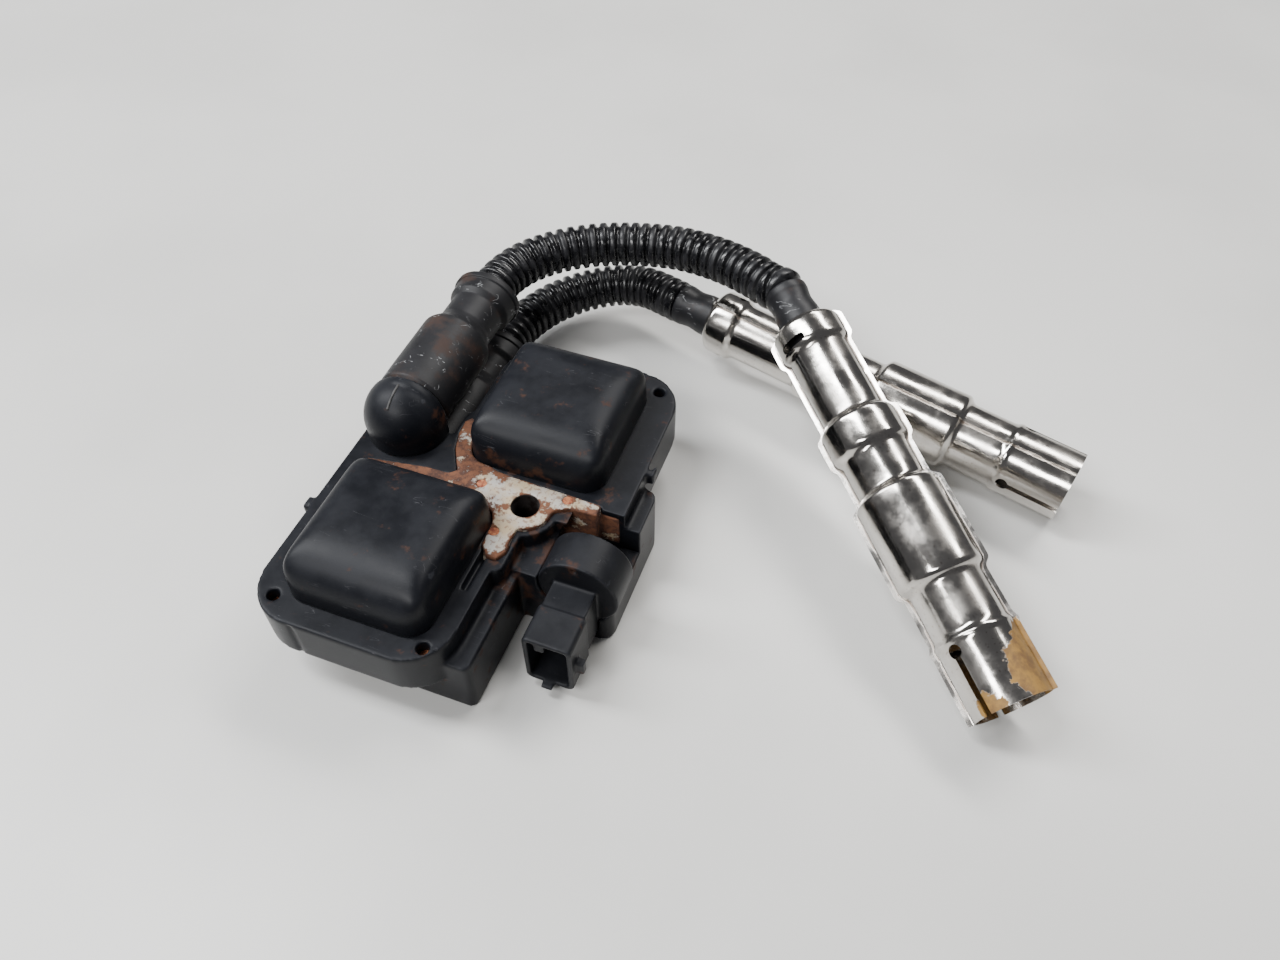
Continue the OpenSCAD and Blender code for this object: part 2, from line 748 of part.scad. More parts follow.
housing();
cover();  // front_cover
opposite() cover();  // rear_cover
core();
core_rivets();
flange_pins();
primary_bobbin();  // front_primary_bobbin
primary_winding();  // front_primary_winding
secondary_bobbin();  // front_secondary_bobbin
secondary_winding();  // front_secondary_winding
potting();  // front_potting
opposite() primary_bobbin();  // rear_primary_bobbin
opposite() primary_winding();  // rear_primary_winding
opposite() secondary_bobbin();  // rear_secondary_bobbin
opposite() secondary_winding();  // rear_secondary_winding
opposite() potting();  // rear_potting
connector_shell();
connector_pins();
upper_tower();
lower_tower();
tower_post(tower_x, upper_tower_z);  // upper_tower_post
tower_post(lower_tower_x, -lower_tower_drop);  // lower_tower_post
boot(tower_x, upper_tower_z);  // upper_boot
boot(lower_tower_x, -lower_tower_drop);  // lower_boot
boot_terminal(tower_x, upper_tower_z);  // upper_boot_terminal
boot_terminal(lower_tower_x, -lower_tower_drop);  // lower_boot_terminal
lead_conduit(upper_route, upper_tip, upper_heading, upper_rise);  // upper_conduit
lead_conduit(lower_route, lower_tip, lower_heading, lower_rise);  // lower_conduit
on_upper() sleeve();  // upper_sleeve
on_lower() sleeve();  // lower_sleeve
on_upper() plug_boot();  // upper_plug_boot
on_lower() plug_boot();  // lower_plug_boot
on_upper() plug_contact();  // upper_plug_contact
on_lower() plug_contact();  // lower_plug_contact
on_upper() suppressor();  // upper_suppressor
on_lower() suppressor();  // lower_suppressor
on_upper() shroud_pair_half(0);  // upper_shroud_top_half
on_upper() shroud_pair_half(1);  // upper_shroud_bottom_half
on_lower() shroud_pair_half(0);  // lower_shroud_top_half
on_lower() shroud_pair_half(1);  // lower_shroud_bottom_half
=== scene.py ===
"""Looks of a twin-outlet ignition coil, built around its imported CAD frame.

The frame gives every place and size. Each sub-assembly is a class that makes its
own pieces and dresses them, and each finish is a small frozen dataclass.
"""

from __future__ import annotations

import logging
import math
from dataclasses import dataclass
from enum import Enum
from typing import Callable, Iterable, Sequence

import bmesh
import bpy
from mathutils import Matrix, Vector, noise

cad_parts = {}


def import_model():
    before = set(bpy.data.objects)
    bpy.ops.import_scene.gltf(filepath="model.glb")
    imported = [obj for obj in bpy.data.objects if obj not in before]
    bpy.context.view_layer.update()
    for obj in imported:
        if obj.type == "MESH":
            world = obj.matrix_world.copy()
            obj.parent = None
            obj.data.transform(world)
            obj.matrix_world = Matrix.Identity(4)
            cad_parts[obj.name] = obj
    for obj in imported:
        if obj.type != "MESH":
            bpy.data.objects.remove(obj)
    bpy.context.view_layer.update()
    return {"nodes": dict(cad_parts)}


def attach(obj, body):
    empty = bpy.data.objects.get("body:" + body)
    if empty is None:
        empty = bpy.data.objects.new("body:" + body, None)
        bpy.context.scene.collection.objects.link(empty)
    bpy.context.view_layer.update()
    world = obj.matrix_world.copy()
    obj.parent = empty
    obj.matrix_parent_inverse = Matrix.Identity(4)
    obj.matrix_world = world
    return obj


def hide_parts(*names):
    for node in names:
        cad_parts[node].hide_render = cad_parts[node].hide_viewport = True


LOG = logging.getLogger("ignition_coil")
MM = 0.001
FULL_TURN = 2 * math.pi
Pair = tuple[float, float]
Point = tuple[float, float, float]
Colour = tuple[float, float, float]
Profile = list[Pair]
Piece = bpy.types.Object
Socket = bpy.types.NodeSocket
Given = bpy.types.NodeOutputs


class Body(str, Enum):
    """The rigid bodies of the frame."""

    COIL = "coil"
    UPPER_SHROUD = "upper_shroud"
    LOWER_SHROUD = "lower_shroud"


class Slot(str, Enum):
    """Names of the material slots."""

    PLASTIC = "moulded_plastic"
    CONNECTOR = "connector_plastic"
    CORE = "painted_core"
    RUST = "rusty_steel"
    NYLON = "bobbin_nylon"
    COPPER = "copper_wire"
    RESIN = "potting_resin"
    BRASS = "terminal_brass"
    CONTACT = "tinned_contact"
    RUBBER = "boot_rubber"
    CONDUIT = "conduit_plastic"
    CERAMIC = "suppressor_ceramic"
    TIN = "tin_plate"


# Mesh helpers


def shown_object(name: str, data: bpy.types.ID) -> Piece:
    """Puts a mesh, a light or a camera in the scene, at the origin, and returns the object."""
    piece = bpy.data.objects.new(name, data)
    bpy.context.scene.collection.objects.link(piece)
    return piece


def object_from(name: str, bm: bmesh.types.BMesh, smooth: bool = True) -> Piece:
    """Turns a bmesh into a shown object and frees it.

    Args:
        name: The piece's name.
        bm: The finished bmesh.
        smooth: Whether its faces are shaded smooth.

    Returns:
        The new object.
    """
    mesh = bpy.data.meshes.new(name)
    for face in bm.faces:
        face.smooth = smooth
    bm.to_mesh(mesh)
    bm.free()
    return shown_object(name, mesh)


def baked_down(piece: Piece) -> None:
    """Applies every modifier of a piece to its mesh.

    Args:
        piece: The object whose modifiers are applied.
    """
    bpy.context.view_layer.update()
    evaluated = piece.evaluated_get(bpy.context.evaluated_depsgraph_get())
    mesh = bpy.data.meshes.new_from_object(evaluated)
    old = piece.data
    piece.modifiers.clear()
    piece.data = mesh
    bpy.data.meshes.remove(old)


def carve(piece: Piece, cutter: Piece) -> None:
    """Cuts one solid out of a piece and throws the cutter away.

    Args:
        piece: The piece that is cut.
        cutter: A closed solid.
    """
    cut = piece.modifiers.new("cut", "BOOLEAN")
    cut.operation = "DIFFERENCE"
    cut.solver = "EXACT"
    cut.object = cutter
    baked_down(piece)
    bpy.data.objects.remove(cutter)


def shade(piece: Piece, sharp_degrees: float = 35.0) -> None:
    """Shades a piece smooth, with hard edges where the faces turn sharply.

    Args:
        piece: The object to shade.
        sharp_degrees: The angle past which an edge is hard.
    """
    piece.data.shade_smooth()
    bm = bmesh.new()
    bm.from_mesh(piece.data)
    limit = math.radians(sharp_degrees)
    for edge in bm.edges:
        edge.smooth = not (edge.is_manifold and edge.calc_face_angle(0.0) > limit)
    bm.to_mesh(piece.data)
    bm.free()


def recast(node: str, name: str, voxel: float, rounds: int, keep: float,
           above: float = -100.0) -> Piece:
    """Makes a moulded copy of a CAD node, with soft edges all round.

    Args:
        node: The CAD node that is copied.
        name: The new piece's name.
        voxel: The size of the grid that the copy is cast in, in millimetres.
        rounds: How often its surface is relaxed, which rounds the edges.
        keep: The share of the faces that is kept.
        above: The height above which it is relaxed, in millimetres.

    Returns:
        The new piece.
    """
    bm = bmesh.new()
    bm.from_mesh(bpy.data.objects[node].data)
    bmesh.ops.remove_doubles(bm, verts=bm.verts, dist=0.002 * MM)
    piece = object_from(name, bm)
    cast = piece.modifiers.new("cast", "REMESH")
    cast.mode = "VOXEL"
    cast.voxel_size = voxel * MM
    baked_down(piece)
    bm = bmesh.new()
    bm.from_mesh(piece.data)
    relaxed = [v for v in bm.verts if v.co.z > above * MM]
    for _ in range(rounds):
        bmesh.ops.smooth_vert(
            bm, verts=relaxed, factor=0.5, use_axis_x=True, use_axis_y=True, use_axis_z=True
        )
    bm.to_mesh(piece.data)
    bm.free()
    if keep < 1:
        thin = piece.modifiers.new("thin", "DECIMATE")
        thin.ratio = keep
        baked_down(piece)
    piece.data.shade_smooth()
    return piece


def softened(corners: Sequence[Pair], radius: float, steps: int = 4) -> Profile:
    """Rounds the corners of an open outline.

    Args:
        corners: The outline's corner points.
        radius: The length that each rounding takes from a side, at most.
        steps: How many pieces a rounding has.

    Returns:
        The outline's points with its corners rounded.
    """
    rounded: Profile = [corners[0]]
    for before, here, after in zip(corners, corners[1:], corners[2:]):
        a, b, c = Vector(before), Vector(here), Vector(after)
        reach = min(radius, (a - b).length * 0.45, (c - b).length * 0.45)
        start = b + (a - b).normalized() * reach
        end = b + (c - b).normalized() * reach
        for i in range(steps + 1):
            t = i / steps
            point = start * (1 - t) ** 2 + b * 2 * t * (1 - t) + end * t**2
            rounded.append((point.x, point.y))
    rounded.append(corners[-1])
    return rounded


def subdivided(points: Profile, longest: float) -> Profile:
    """Adds points to an outline so that no side is longer than a limit.

    Args:
        points: The outline's points.
        longest: The longest that a side may be.

    Returns:
        The outline with its added points.
    """
    filled: Profile = [points[0]]
    for a, b in zip(points, points[1:]):
        count = max(1, math.ceil(math.dist(a, b) / longest))
        filled += [
            (a[0] + (b[0] - a[0]) * i / count, a[1] + (b[1] - a[1]) * i / count)
            for i in range(1, count + 1)
        ]
    return filled


def turned(profile: Profile, steps: int, angle: float = FULL_TURN) -> bmesh.types.BMesh:
    """Spins an outline about Z.

    Args:
        profile: Radius and height of each point, in millimetres.
        steps: How many steps the turn has.
        angle: How far it turns, in radians.

    Returns:
        A bmesh in metres, with its normals pointing out.
    """
    bm = bmesh.new()
    points = [bm.verts.new((r * MM, 0, z * MM)) for r, z in profile]
    sides = [bm.edges.new(pair) for pair in zip(points, points[1:])]
    whole = abs(angle - FULL_TURN) < 1e-6
    bmesh.ops.spin(
        bm, geom=points + sides, cent=(0, 0, 0), axis=(0, 0, 1), dvec=(0, 0, 0),
        angle=angle, steps=steps, use_merge=whole,
    )
    bmesh.ops.remove_doubles(bm, verts=bm.verts, dist=0.001 * MM)
    bmesh.ops.recalc_face_normals(bm, faces=bm.faces)
    return bm


# Shader helpers


class Desk:
    """Lays out and joins the nodes of one node tree."""

    def __init__(self, tree: bpy.types.NodeTree) -> None:
        """Takes the tree that the nodes go into."""
        self.tree = tree

    def feed(self, socket: Socket, value: object) -> None:
        """Links an input to the socket that is given, or sets it to the value."""
        if isinstance(value, Socket):
            self.tree.links.new(value, socket)
        else:
            socket.default_value = value

    def node(self, kind: str, inputs: dict | None = None, **settings: object) -> bpy.types.Node:
        """Adds a node.

        Args:
            kind: The node's type, without its ShaderNode prefix.
            inputs: A value, or a socket that feeds it, for each input by name or index.
            settings: The node's own settings.

        Returns:
            The new node.
        """
        made = self.tree.nodes.new("ShaderNode" + kind)
        for key, value in settings.items():
            setattr(made, key, value)
        for key, value in (inputs or {}).items():
            self.feed(made.inputs[key], value)
        return made

    def maths(self, operation: str, a: object, b: object = 0.0) -> Socket:
        """Does one sum on two values or sockets, and returns its result socket."""
        return self.node("Math", {0: a, 1: b}, operation=operation).outputs[0]

    def plus(self, a: object, b: object) -> Socket:
        """Adds two values."""
        return self.maths("ADD", a, b)

    def less(self, a: object, b: object) -> Socket:
        """Takes the second value from the first."""
        return self.maths("SUBTRACT", a, b)

    def times(self, a: object, b: object) -> Socket:
        """Multiplies two values."""
        return self.maths("MULTIPLY", a, b)

    def cloud(self, vector: Socket, scale: object, detail: float,
              **more: float) -> Socket:
        """Adds a noise texture and returns its value's socket."""
        inputs = {"Vector": vector, "Scale": scale, "Detail": detail, **more}
        return self.node("TexNoise", inputs).outputs[0]

    def length(self, operation: str, inputs: dict) -> Socket:
        """Measures a vector, or the distance of two, and returns the length's socket."""
        return self.node("VectorMath", inputs, operation=operation).outputs["Value"]

    def ramp(self, value: object, low: object, high: object,
             start: float = 0.0, end: float = 1.0) -> Socket:
        """Maps a value smoothly from one range to another.

        Args:
            value: The value's socket.
            low: Where the range starts.
            high: Where the range ends.
            start: The result at the start.
            end: The result at the end.

        Returns:
            The mapped value's socket.
        """
        inputs = {"Value": value, "From Min": low, "From Max": high, "To Min": start, "To Max": end}
        return self.node("MapRange", inputs, interpolation_type="SMOOTHSTEP").outputs[0]

    def pointiness(self) -> Socket:
        """How far the surface stands out (above a half) or in (below it)."""
        return self.node("NewGeometry").outputs["Pointiness"]

    def mix(self, share: object, a: object, b: object) -> Socket:
        """Mixes two colours by a mask.

        Args:
            share: The mask, or a share from 0 to 1.
            a: The colour where the mask is 0, or its socket.
            b: The colour where the mask is 1, or its socket.

        Returns:
            The mixed colour's socket.
        """
        made = self.node("Mix", data_type="RGBA")
        sockets = {s.identifier: s for s in made.inputs}
        self.feed(sockets["Factor_Float"], share)
        for key, value in (("A_Color", a), ("B_Color", b)):
            self.feed(sockets[key], (*value, 1.0) if isinstance(value, tuple) else value)
        return next(s for s in made.outputs if s.identifier == "Result_Color")


class Effects:
    """Effects that several finishes share, each built once as a node group.

    Each effect has a method of its own, which takes the desk of the group's tree and the
    group's inputs, lays out the nodes and returns the result's socket.
    """

    INPUTS = {
        "patches": ("Vector", "Scale", "Cover", "Softness"),
        "scratches": ("Vector", "Scale", "Stretch", "Width", "Cover"),
        "grain": ("Vector", "Fine", "Coarse", "Share"),
        "worn_edges": ("Vector", "Scale", "Low", "High", "Cover"),
        "settled_dust": ("Vector", "Normal", "Scale", "Cover"),
    }

    def __init__(self) -> None:
        """Starts with no group built."""
        self.built: dict[str, bpy.types.NodeTree] = {}

    def place(self, desk: Desk, name: str, **values: object) -> Socket:
        """Places one effect in a node tree, and builds its group when it is the first.

        Args:
            desk: The desk of the tree that it goes into.
            name: The effect's name.
            values: A value or a socket for each of its inputs.

        Returns:
            Its output socket.
        """
        if name not in self.built:
            self.built[name] = self._build(name)
        made = desk.node("Group", node_tree=self.built[name])
        for key, value in values.items():
            desk.feed(made.inputs[key], value)
        return made.outputs[0]

    def _build(self, name: str) -> bpy.types.NodeTree:
        """Builds one effect's group.

        Args:
            name: The effect's name.

        Returns:
            The group's tree.
        """
        tree = bpy.data.node_groups.new(name, "ShaderNodeTree")
        for key in self.INPUTS[name]:
            kind = "Vector" if key in ("Vector", "Normal") else "Float"
            tree.interface.new_socket(key, in_out="INPUT", socket_type="NodeSocket" + kind)
        tree.interface.new_socket("Result", in_out="OUTPUT", socket_type="NodeSocketFloat")
        given = tree.nodes.new("NodeGroupInput").outputs
        result = getattr(self, "_" + name)(Desk(tree), given)
        tree.links.new(result, tree.nodes.new("NodeGroupOutput").inputs[0])
        return tree

    def _broken(self, desk: Desk, given: Given, scale: object,
                softness: float) -> Socket:
        """Patches that break up another effect, with its own cover."""
        return self.place(desk, "patches", Vector=given["Vector"], Scale=scale,
                          Cover=given["Cover"], Softness=softness)

    def _patches(self, desk: Desk, given: Given) -> Socket:
        """Irregular patches, for smudges, stains and rust."""
        cloud = desk.cloud(given["Vector"], given["Scale"], 7.0, Roughness=0.62)
        middle = desk.less(0.66, desk.times(given["Cover"], 0.32))
        low, high = (desk.less(middle, given["Softness"]), desk.plus(middle, given["Softness"]))
        return desk.ramp(cloud, low, high)

    def _scratches(self, desk: Desk, given: Given) -> Socket:
        """Fine broken scratches that run along one axis."""
        stretch = desk.node("CombineXYZ", {0: 1.0, 1: given["Stretch"], 2: given["Stretch"]})
        stretched = desk.node("VectorMath", {0: given["Vector"], 1: stretch.outputs[0]},
                              operation="MULTIPLY")
        lines = desk.cloud(stretched.outputs[0], given["Scale"], 2.0, Distortion=0.6)
        distance = desk.maths("ABSOLUTE", desk.less(lines, 0.5))
        line = desk.ramp(distance, 0.0, given["Width"], 1.0, 0.0)
        return desk.times(line, self._broken(desk, given, desk.times(given["Scale"], 2.3), 0.04))

    def _grain(self, desk: Desk, given: Given) -> Socket:
        """Height of a moulded or cast surface's grain."""
        fine = desk.cloud(given["Vector"], given["Fine"], 3.0)
        coarse = desk.cloud(given["Vector"], given["Coarse"], 4.0)
        rest = desk.less(1.0, given["Share"])
        return desk.plus(desk.times(fine, given["Share"]), desk.times(coarse, rest))

    def _worn_edges(self, desk: Desk, given: Given) -> Socket:
        """A mask of the outer edges, broken up where they are rubbed."""
        sharp = desk.ramp(desk.pointiness(), given["Low"], given["High"])
        return desk.times(sharp, self._broken(desk, given, given["Scale"], 0.12))

    def _settled_dust(self, desk: Desk, given: Given) -> Socket:
        """A mask of the dust that lies on faces that look up."""
        up = desk.ramp(desk.node("SeparateXYZ", {0: given["Normal"]}).outputs[2], 0.1, 1.0)
        return desk.times(up, self._broken(desk, given, given["Scale"], 0.2))


# Finishes


@dataclass(frozen=True)
class Patch:
    """One kind of patch: its texture scale, how much it covers and its soft edge."""

    scale: float
    cover: float
    softness: float


@dataclass(frozen=True)
class Grain:
    """A surface's grain: two scales, the fine one's share, its depth (mm) and strength."""

    fine: float
    coarse: float
    share: float
    depth: float
    strength: float


class Brush(Desk):
    """A desk for one material, with its shader, coordinates and the shared effects."""

    def __init__(self, material: bpy.types.Material, effects: Effects) -> None:
        """Takes the material and the effects that finishes share."""
        super().__init__(material.node_tree)
        self.effects = effects
        self.inputs = material.node_tree.nodes["Principled BSDF"].inputs
        place = self.node("TexCoord")
        self.where, self.normal = place.outputs["Object"], place.outputs["Normal"]

    def effect(self, name: str, **values: object) -> Socket:
        """Places one shared effect on the object's coordinates."""
        return self.effects.place(self, name, Vector=self.where, **values)

    def patch(self, kind: Patch, cover: object = None) -> Socket:
        """Lays patches of one kind, with their own cover or a given one."""
        cover = kind.cover if cover is None else cover
        return self.effect("patches", Scale=kind.scale, Cover=cover, Softness=kind.softness)

    def over(self, mask: object, strength: float, under: object, colour: Colour) -> object:
        """Lays a colour over another, by a mask and a strength."""
        return self.mix(self.times(mask, strength), under, colour)

    def rougher(self, rough: object, mask: object, amount: float) -> object:
        """Adds to a roughness where a mask is."""
        return self.plus(rough, self.times(mask, amount))

    def settle(self, colour: object, rough: object = None) -> None:
        """Feeds the finished colour and roughness to the shader."""
        self.feed(self.inputs["Base Color"], colour)
        if rough is not None:
            self.feed(self.inputs["Roughness"], rough)

    def height(self, grain: Grain) -> Socket:
        """Lays a grain and returns its height."""
        return self.effect("grain", Fine=grain.fine, Coarse=grain.coarse, Share=grain.share)

    def relief(self, grain: Grain, height: object) -> None:
        """Feeds a height to the shader's normal, with the grain's depth and strength."""
        bump = {"Height": height, "Distance": grain.depth * MM, "Strength": grain.strength}
        self.feed(self.inputs["Normal"], self.node("Bump", bump).outputs[0])


@dataclass(frozen=True)
class Finish:
    """What every finish has: a name, a colour and a gloss."""

    name: str
    colour: Colour
    roughness: float = 0.5
    reflectance: float = 0.5

    def build(self, effects: Effects) -> bpy.types.Material:
        """Makes the finish's material.

        Args:
            effects: The effects that finishes share.

        Returns:
            The material.
        """
        material = bpy.data.materials.new(f"{self.name}_finish")
        material.use_nodes = True
        material.diffuse_color = (*self.colour, 1.0)
        brush = Brush(material, effects)
        brush.settle((*self.colour, 1.0), self.roughness)
        brush.inputs["Specular IOR Level"].default_value = self.reflectance
        self.paint(brush)
        return material

    def paint(self, brush: Brush) -> None:
        """Lays out what makes this finish. Each kind of finish has its own."""
        raise NotImplementedError


@dataclass(frozen=True)
class MouldedPlastic(Finish):
    """Satin black moulding with dust, rub marks and brown dust near the core."""

    dust: Colour = (0.055, 0.058, 0.068)
    stain: Colour = (0.085, 0.035, 0.018)
    scratch: Colour = (0.12, 0.12, 0.13)
    stains: Patch = Patch(190.0, 0.45, 0.06)
    stain_reach: Pair = (8.0, 34.0)
    dust_cover: float = 0.5
    grain: Grain = Grain(3500.0, 500.0, 0.6, 0.05, 0.35)

    def paint(self, brush: Brush) -> None:
        """Lays out this finish's nodes."""
        dust = brush.effect("settled_dust", Normal=brush.normal, Scale=90.0, Cover=self.dust_cover)
        rubbed = brush.effect("worn_edges", Scale=500.0, Low=0.51, High=0.58, Cover=0.6)
        scratch = brush.effect("scratches", Scale=60.0, Stretch=6.0, Width=0.006, Cover=0.25)
        near, far = (reach * MM for reach in self.stain_reach)
        away = brush.length("LENGTH", {0: brush.where})
        stain = brush.patch(self.stains, brush.ramp(away, near, far, self.stains.cover, 0.0))
        colour = brush.over(dust, 0.16, self.colour, self.dust)
        colour = brush.over(rubbed, 0.35, colour, self.dust)
        colour = brush.over(stain, 0.45, colour, self.stain)
        colour = brush.over(scratch, 0.5, colour, self.scratch)
        rough = brush.rougher(self.roughness, dust, 0.12)
        brush.settle(colour, brush.rougher(rough, stain, 0.15))
        brush.relief(self.grain, brush.height(self.grain))


@dataclass(frozen=True)
class BootRubber(Finish):
    """Dull black rubber with rust-brown smudges and pale scuffs."""

    smudge: Colour = (0.11, 0.045, 0.02)
    scuff: Colour = (0.42, 0.43, 0.44)
    dust: Colour = (0.10, 0.10, 0.11)
    smudges: Patch = Patch(95.0, 0.16, 0.08)
    grain: Grain = Grain(2600.0, 350.0, 0.4, 0.09, 0.4)

    def paint(self, brush: Brush) -> None:
        """Lays out this finish's nodes."""
        smudge = brush.patch(self.smudges)
        scuff = brush.effect("scratches", Scale=110.0, Stretch=3.0, Width=0.016, Cover=0.26)
        dust = brush.effect("settled_dust", Normal=brush.normal, Scale=120.0, Cover=0.6)
        colour = brush.over(dust, 0.08, self.colour, self.dust)
        colour = brush.over(smudge, 0.22, colour, self.smudge)
        colour = brush.over(scuff, 0.7, colour, self.scuff)
        brush.settle(colour, brush.rougher(self.roughness, smudge, 0.15))
        brush.relief(self.grain, brush.height(self.grain))


@dataclass(frozen=True)
class ConduitPlastic(Finish):
    """Glossy black corrugated plastic with dull dusty patches."""

    dusty: Colour = (0.05, 0.05, 0.055)
    speck: Colour = (0.2, 0.2, 0.2)
    dull: Patch = Patch(260.0, 0.5, 0.12)
    specks: Patch = Patch(1100.0, 0.12, 0.03)
    grain: Grain = Grain(2500.0, 420.0, 0.3, 0.04, 0.25)

    def paint(self, brush: Brush) -> None:
        """Lays out this finish's nodes."""
        dull = brush.patch(self.dull)
        colour = brush.over(dull, 0.25, self.colour, self.dusty)
        colour = brush.over(brush.patch(self.specks), 0.15, colour, self.speck)
        brush.settle(colour, brush.rougher(self.roughness, dull, 0.22))
        brush.relief(self.grain, brush.height(self.grain))


@dataclass(frozen=True)
class PaintedCore(Finish):
    """Pale paint on steel, rusted through more the further it is from the mounting hole, with
    painted shade in the hole's bore.
    """

    aged: Colour = (0.40, 0.31, 0.20)
    rust: Colour = (0.050, 0.018, 0.010)
    bright_rust: Colour = (0.135, 0.050, 0.022)
    # Near black: the bore's dark rust deepened as painted shade of the deep hole.
    bore_rust_and_shade: Colour = (0.012, 0.008, 0.007)
    bore_radius: float = 3.5
    bore_edge: float = 0.3
    clean_reach: float = 6.0
    rusty_reach: float = 34.0
    top_edge: Pair = (12.4, 12.9)
    rusted: Patch = Patch(210.0, 0.0, 0.035)
    spots: Patch = Patch(900.0, 0.28, 0.04)
    tone: Patch = Patch(420.0, 0.5, 0.1)
    ageing: Patch = Patch(160.0, 0.5, 0.15)
    grain: Grain = Grain(1800.0, 500.0, 0.5, 0.25, 0.7)

    def paint(self, brush: Brush) -> None:
        """Lays out this finish's nodes."""
        flat = brush.node("VectorMath", {0: brush.where, 1: (1.0, 1.0, 0.0)}, operation="MULTIPLY")
        reach = brush.length("LENGTH", {0: flat.outputs[0]})
        far = brush.ramp(reach, self.clean_reach * MM, self.rusty_reach * MM, 0.30, 0.88)
        height = brush.node("SeparateXYZ", {0: brush.where}).outputs[2]
        side = brush.ramp(height, self.top_edge[0] * MM, self.top_edge[1] * MM, 0.3, 0.0)
        edge = brush.ramp(brush.pointiness(), 0.5, 0.56, 0.0, 0.35)
        rust = brush.patch(self.rusted, brush.plus(brush.plus(far, side), edge))
        rust_colour = brush.mix(brush.patch(self.tone), self.rust, self.bright_rust)
        paint = brush.mix(brush.patch(self.ageing), self.colour, self.aged)
        colour = brush.over(brush.patch(self.spots), 0.6, paint, self.bright_rust)
        colour = brush.mix(rust, colour, rust_colour)
        # Painted shade: the mounting hole's bore is painted near black, its dark rust deepened to
        # stand in for the shade inside the hole.
        rim = self.bore_radius + self.bore_edge
        bore = brush.ramp(reach, self.bore_radius * MM, rim * MM, 1.0, 0.0)
        colour = brush.mix(bore, colour, self.bore_rust_and_shade)
        brush.settle(colour, brush.rougher(self.roughness, rust, 0.4))
        brush.relief(self.grain, brush.plus(brush.height(self.grain), brush.times(rust, 0.6)))


@dataclass(frozen=True)
class RustySteel(Finish):
    """Steel under an even coat of rust."""

    light: Colour = (0.42, 0.16, 0.07)
    tone: Patch = Patch(700.0, 0.5, 0.1)
    grain: Grain = Grain(4000.0, 900.0, 0.5, 0.15, 0.7)

    def paint(self, brush: Brush) -> None:
        """Lays out this finish's nodes."""
        brush.settle(brush.mix(brush.patch(self.tone), self.colour, self.light))
        brush.relief(self.grain, brush.height(self.grain))


@dataclass(frozen=True)
class TinPlate(Finish):
    """Bright plated sheet with dull smears, brown grime and painted shade in its corners, and heat
    stain.
    """

    smear: Colour = (0.44, 0.40, 0.36)
    # Brown of the grime specks, also used as the painted shade of the creases.
    grime_and_shade: Colour = (0.16, 0.10, 0.065)
    stain: Colour = (0.30, 0.165, 0.038)
    burnt: Colour = (0.15, 0.08, 0.03)
    smears: Patch = Patch(110.0, 0.45, 0.12)
    specks: Patch = Patch(1300.0, 0.12, 0.03)
    crease_patches: Patch = Patch(300.0, 0.7, 0.12)
    tone: Patch = Patch(260.0, 0.45, 0.12)
    grain: Grain = Grain(900.0, 160.0, 0.12, 0.25, 0.25)
    spots: tuple[tuple[Colour, float], ...] = ()

    def paint(self, brush: Brush) -> None:
        """Lays out this finish's nodes."""
        smear = brush.patch(self.smears)
        # Grime and painted shade: concave creases, such as where the seam flange meets the wall,
        # are darkened brown.
        hollow = brush.ramp(brush.pointiness(), 0.497, 0.46)
        grime_and_shade = brush.times(hollow, brush.patch(self.crease_patches))
        colour = brush.over(smear, 0.3, self.colour, self.smear)
        colour = brush.over(grime_and_shade, 0.7, colour, self.grime_and_shade)
        colour = brush.over(brush.patch(self.specks), 0.4, colour, self.grime_and_shade)
        rough = brush.rougher(self.roughness, smear, 0.14)
        rough = brush.rougher(rough, grime_and_shade, 0.3)
        if self.spots:
            heat = self._heat(brush)
            tone = brush.mix(brush.patch(self.tone), self.stain, self.burnt)
            colour = brush.mix(heat, colour, tone)
            rough = brush.rougher(rough, heat, 0.45)
            brush.feed(brush.inputs["Metallic"], brush.less(1.0, brush.times(heat, 0.9)))
        else:
            brush.inputs["Metallic"].default_value = 1.0
        brush.settle(colour, rough)
        brush.relief(self.grain, brush.height(self.grain))

    def _heat(self, brush: Brush) -> Socket:
        """Masks the heat stain: ragged patches round each spot's centre (mm)."""
        cloud = brush.cloud(brush.where, 300.0, 6.0, Roughness=0.65)
        reach = brush.times(brush.less(cloud, 0.5), 2.2)
        for centre, size in self.spots:
            away = brush.length("DISTANCE", {0: brush.where, 1: [c * MM for c in centre]})
            reach = brush.plus(reach, brush.ramp(away, 0.2 * size * MM, size * MM, 1.0, 0.0))
        return brush.ramp(reach, 0.47, 0.56)


@dataclass(frozen=True)
class PlainPart(Finish):
    """A clean inner part: a base colour with a second tone in patches and a little grain."""

    second: Colour = (0.5, 0.5, 0.5)
    metal: float = 0.0
    lines: float = 0.0
    tone: Patch = Patch(320.0, 0.5, 0.15)
    grain: Grain = Grain(2600.0, 300.0, 0.5, 0.1, 0.5)

    def paint(self, brush: Brush) -> None:
        """Lays out this finish's nodes."""
        brush.inputs["Metallic"].default_value = self.metal
        brush.settle(brush.mix(brush.patch(self.tone), self.colour, self.second))
        height = brush.height(self.grain)
        if self.lines:
            turns = brush.node("TexWave", {"Vector": brush.where, "Scale": self.lines},
                               bands_direction="X")
            height = brush.plus(brush.times(turns.outputs["Fac"], 2.0), height)
        brush.relief(self.grain, height)


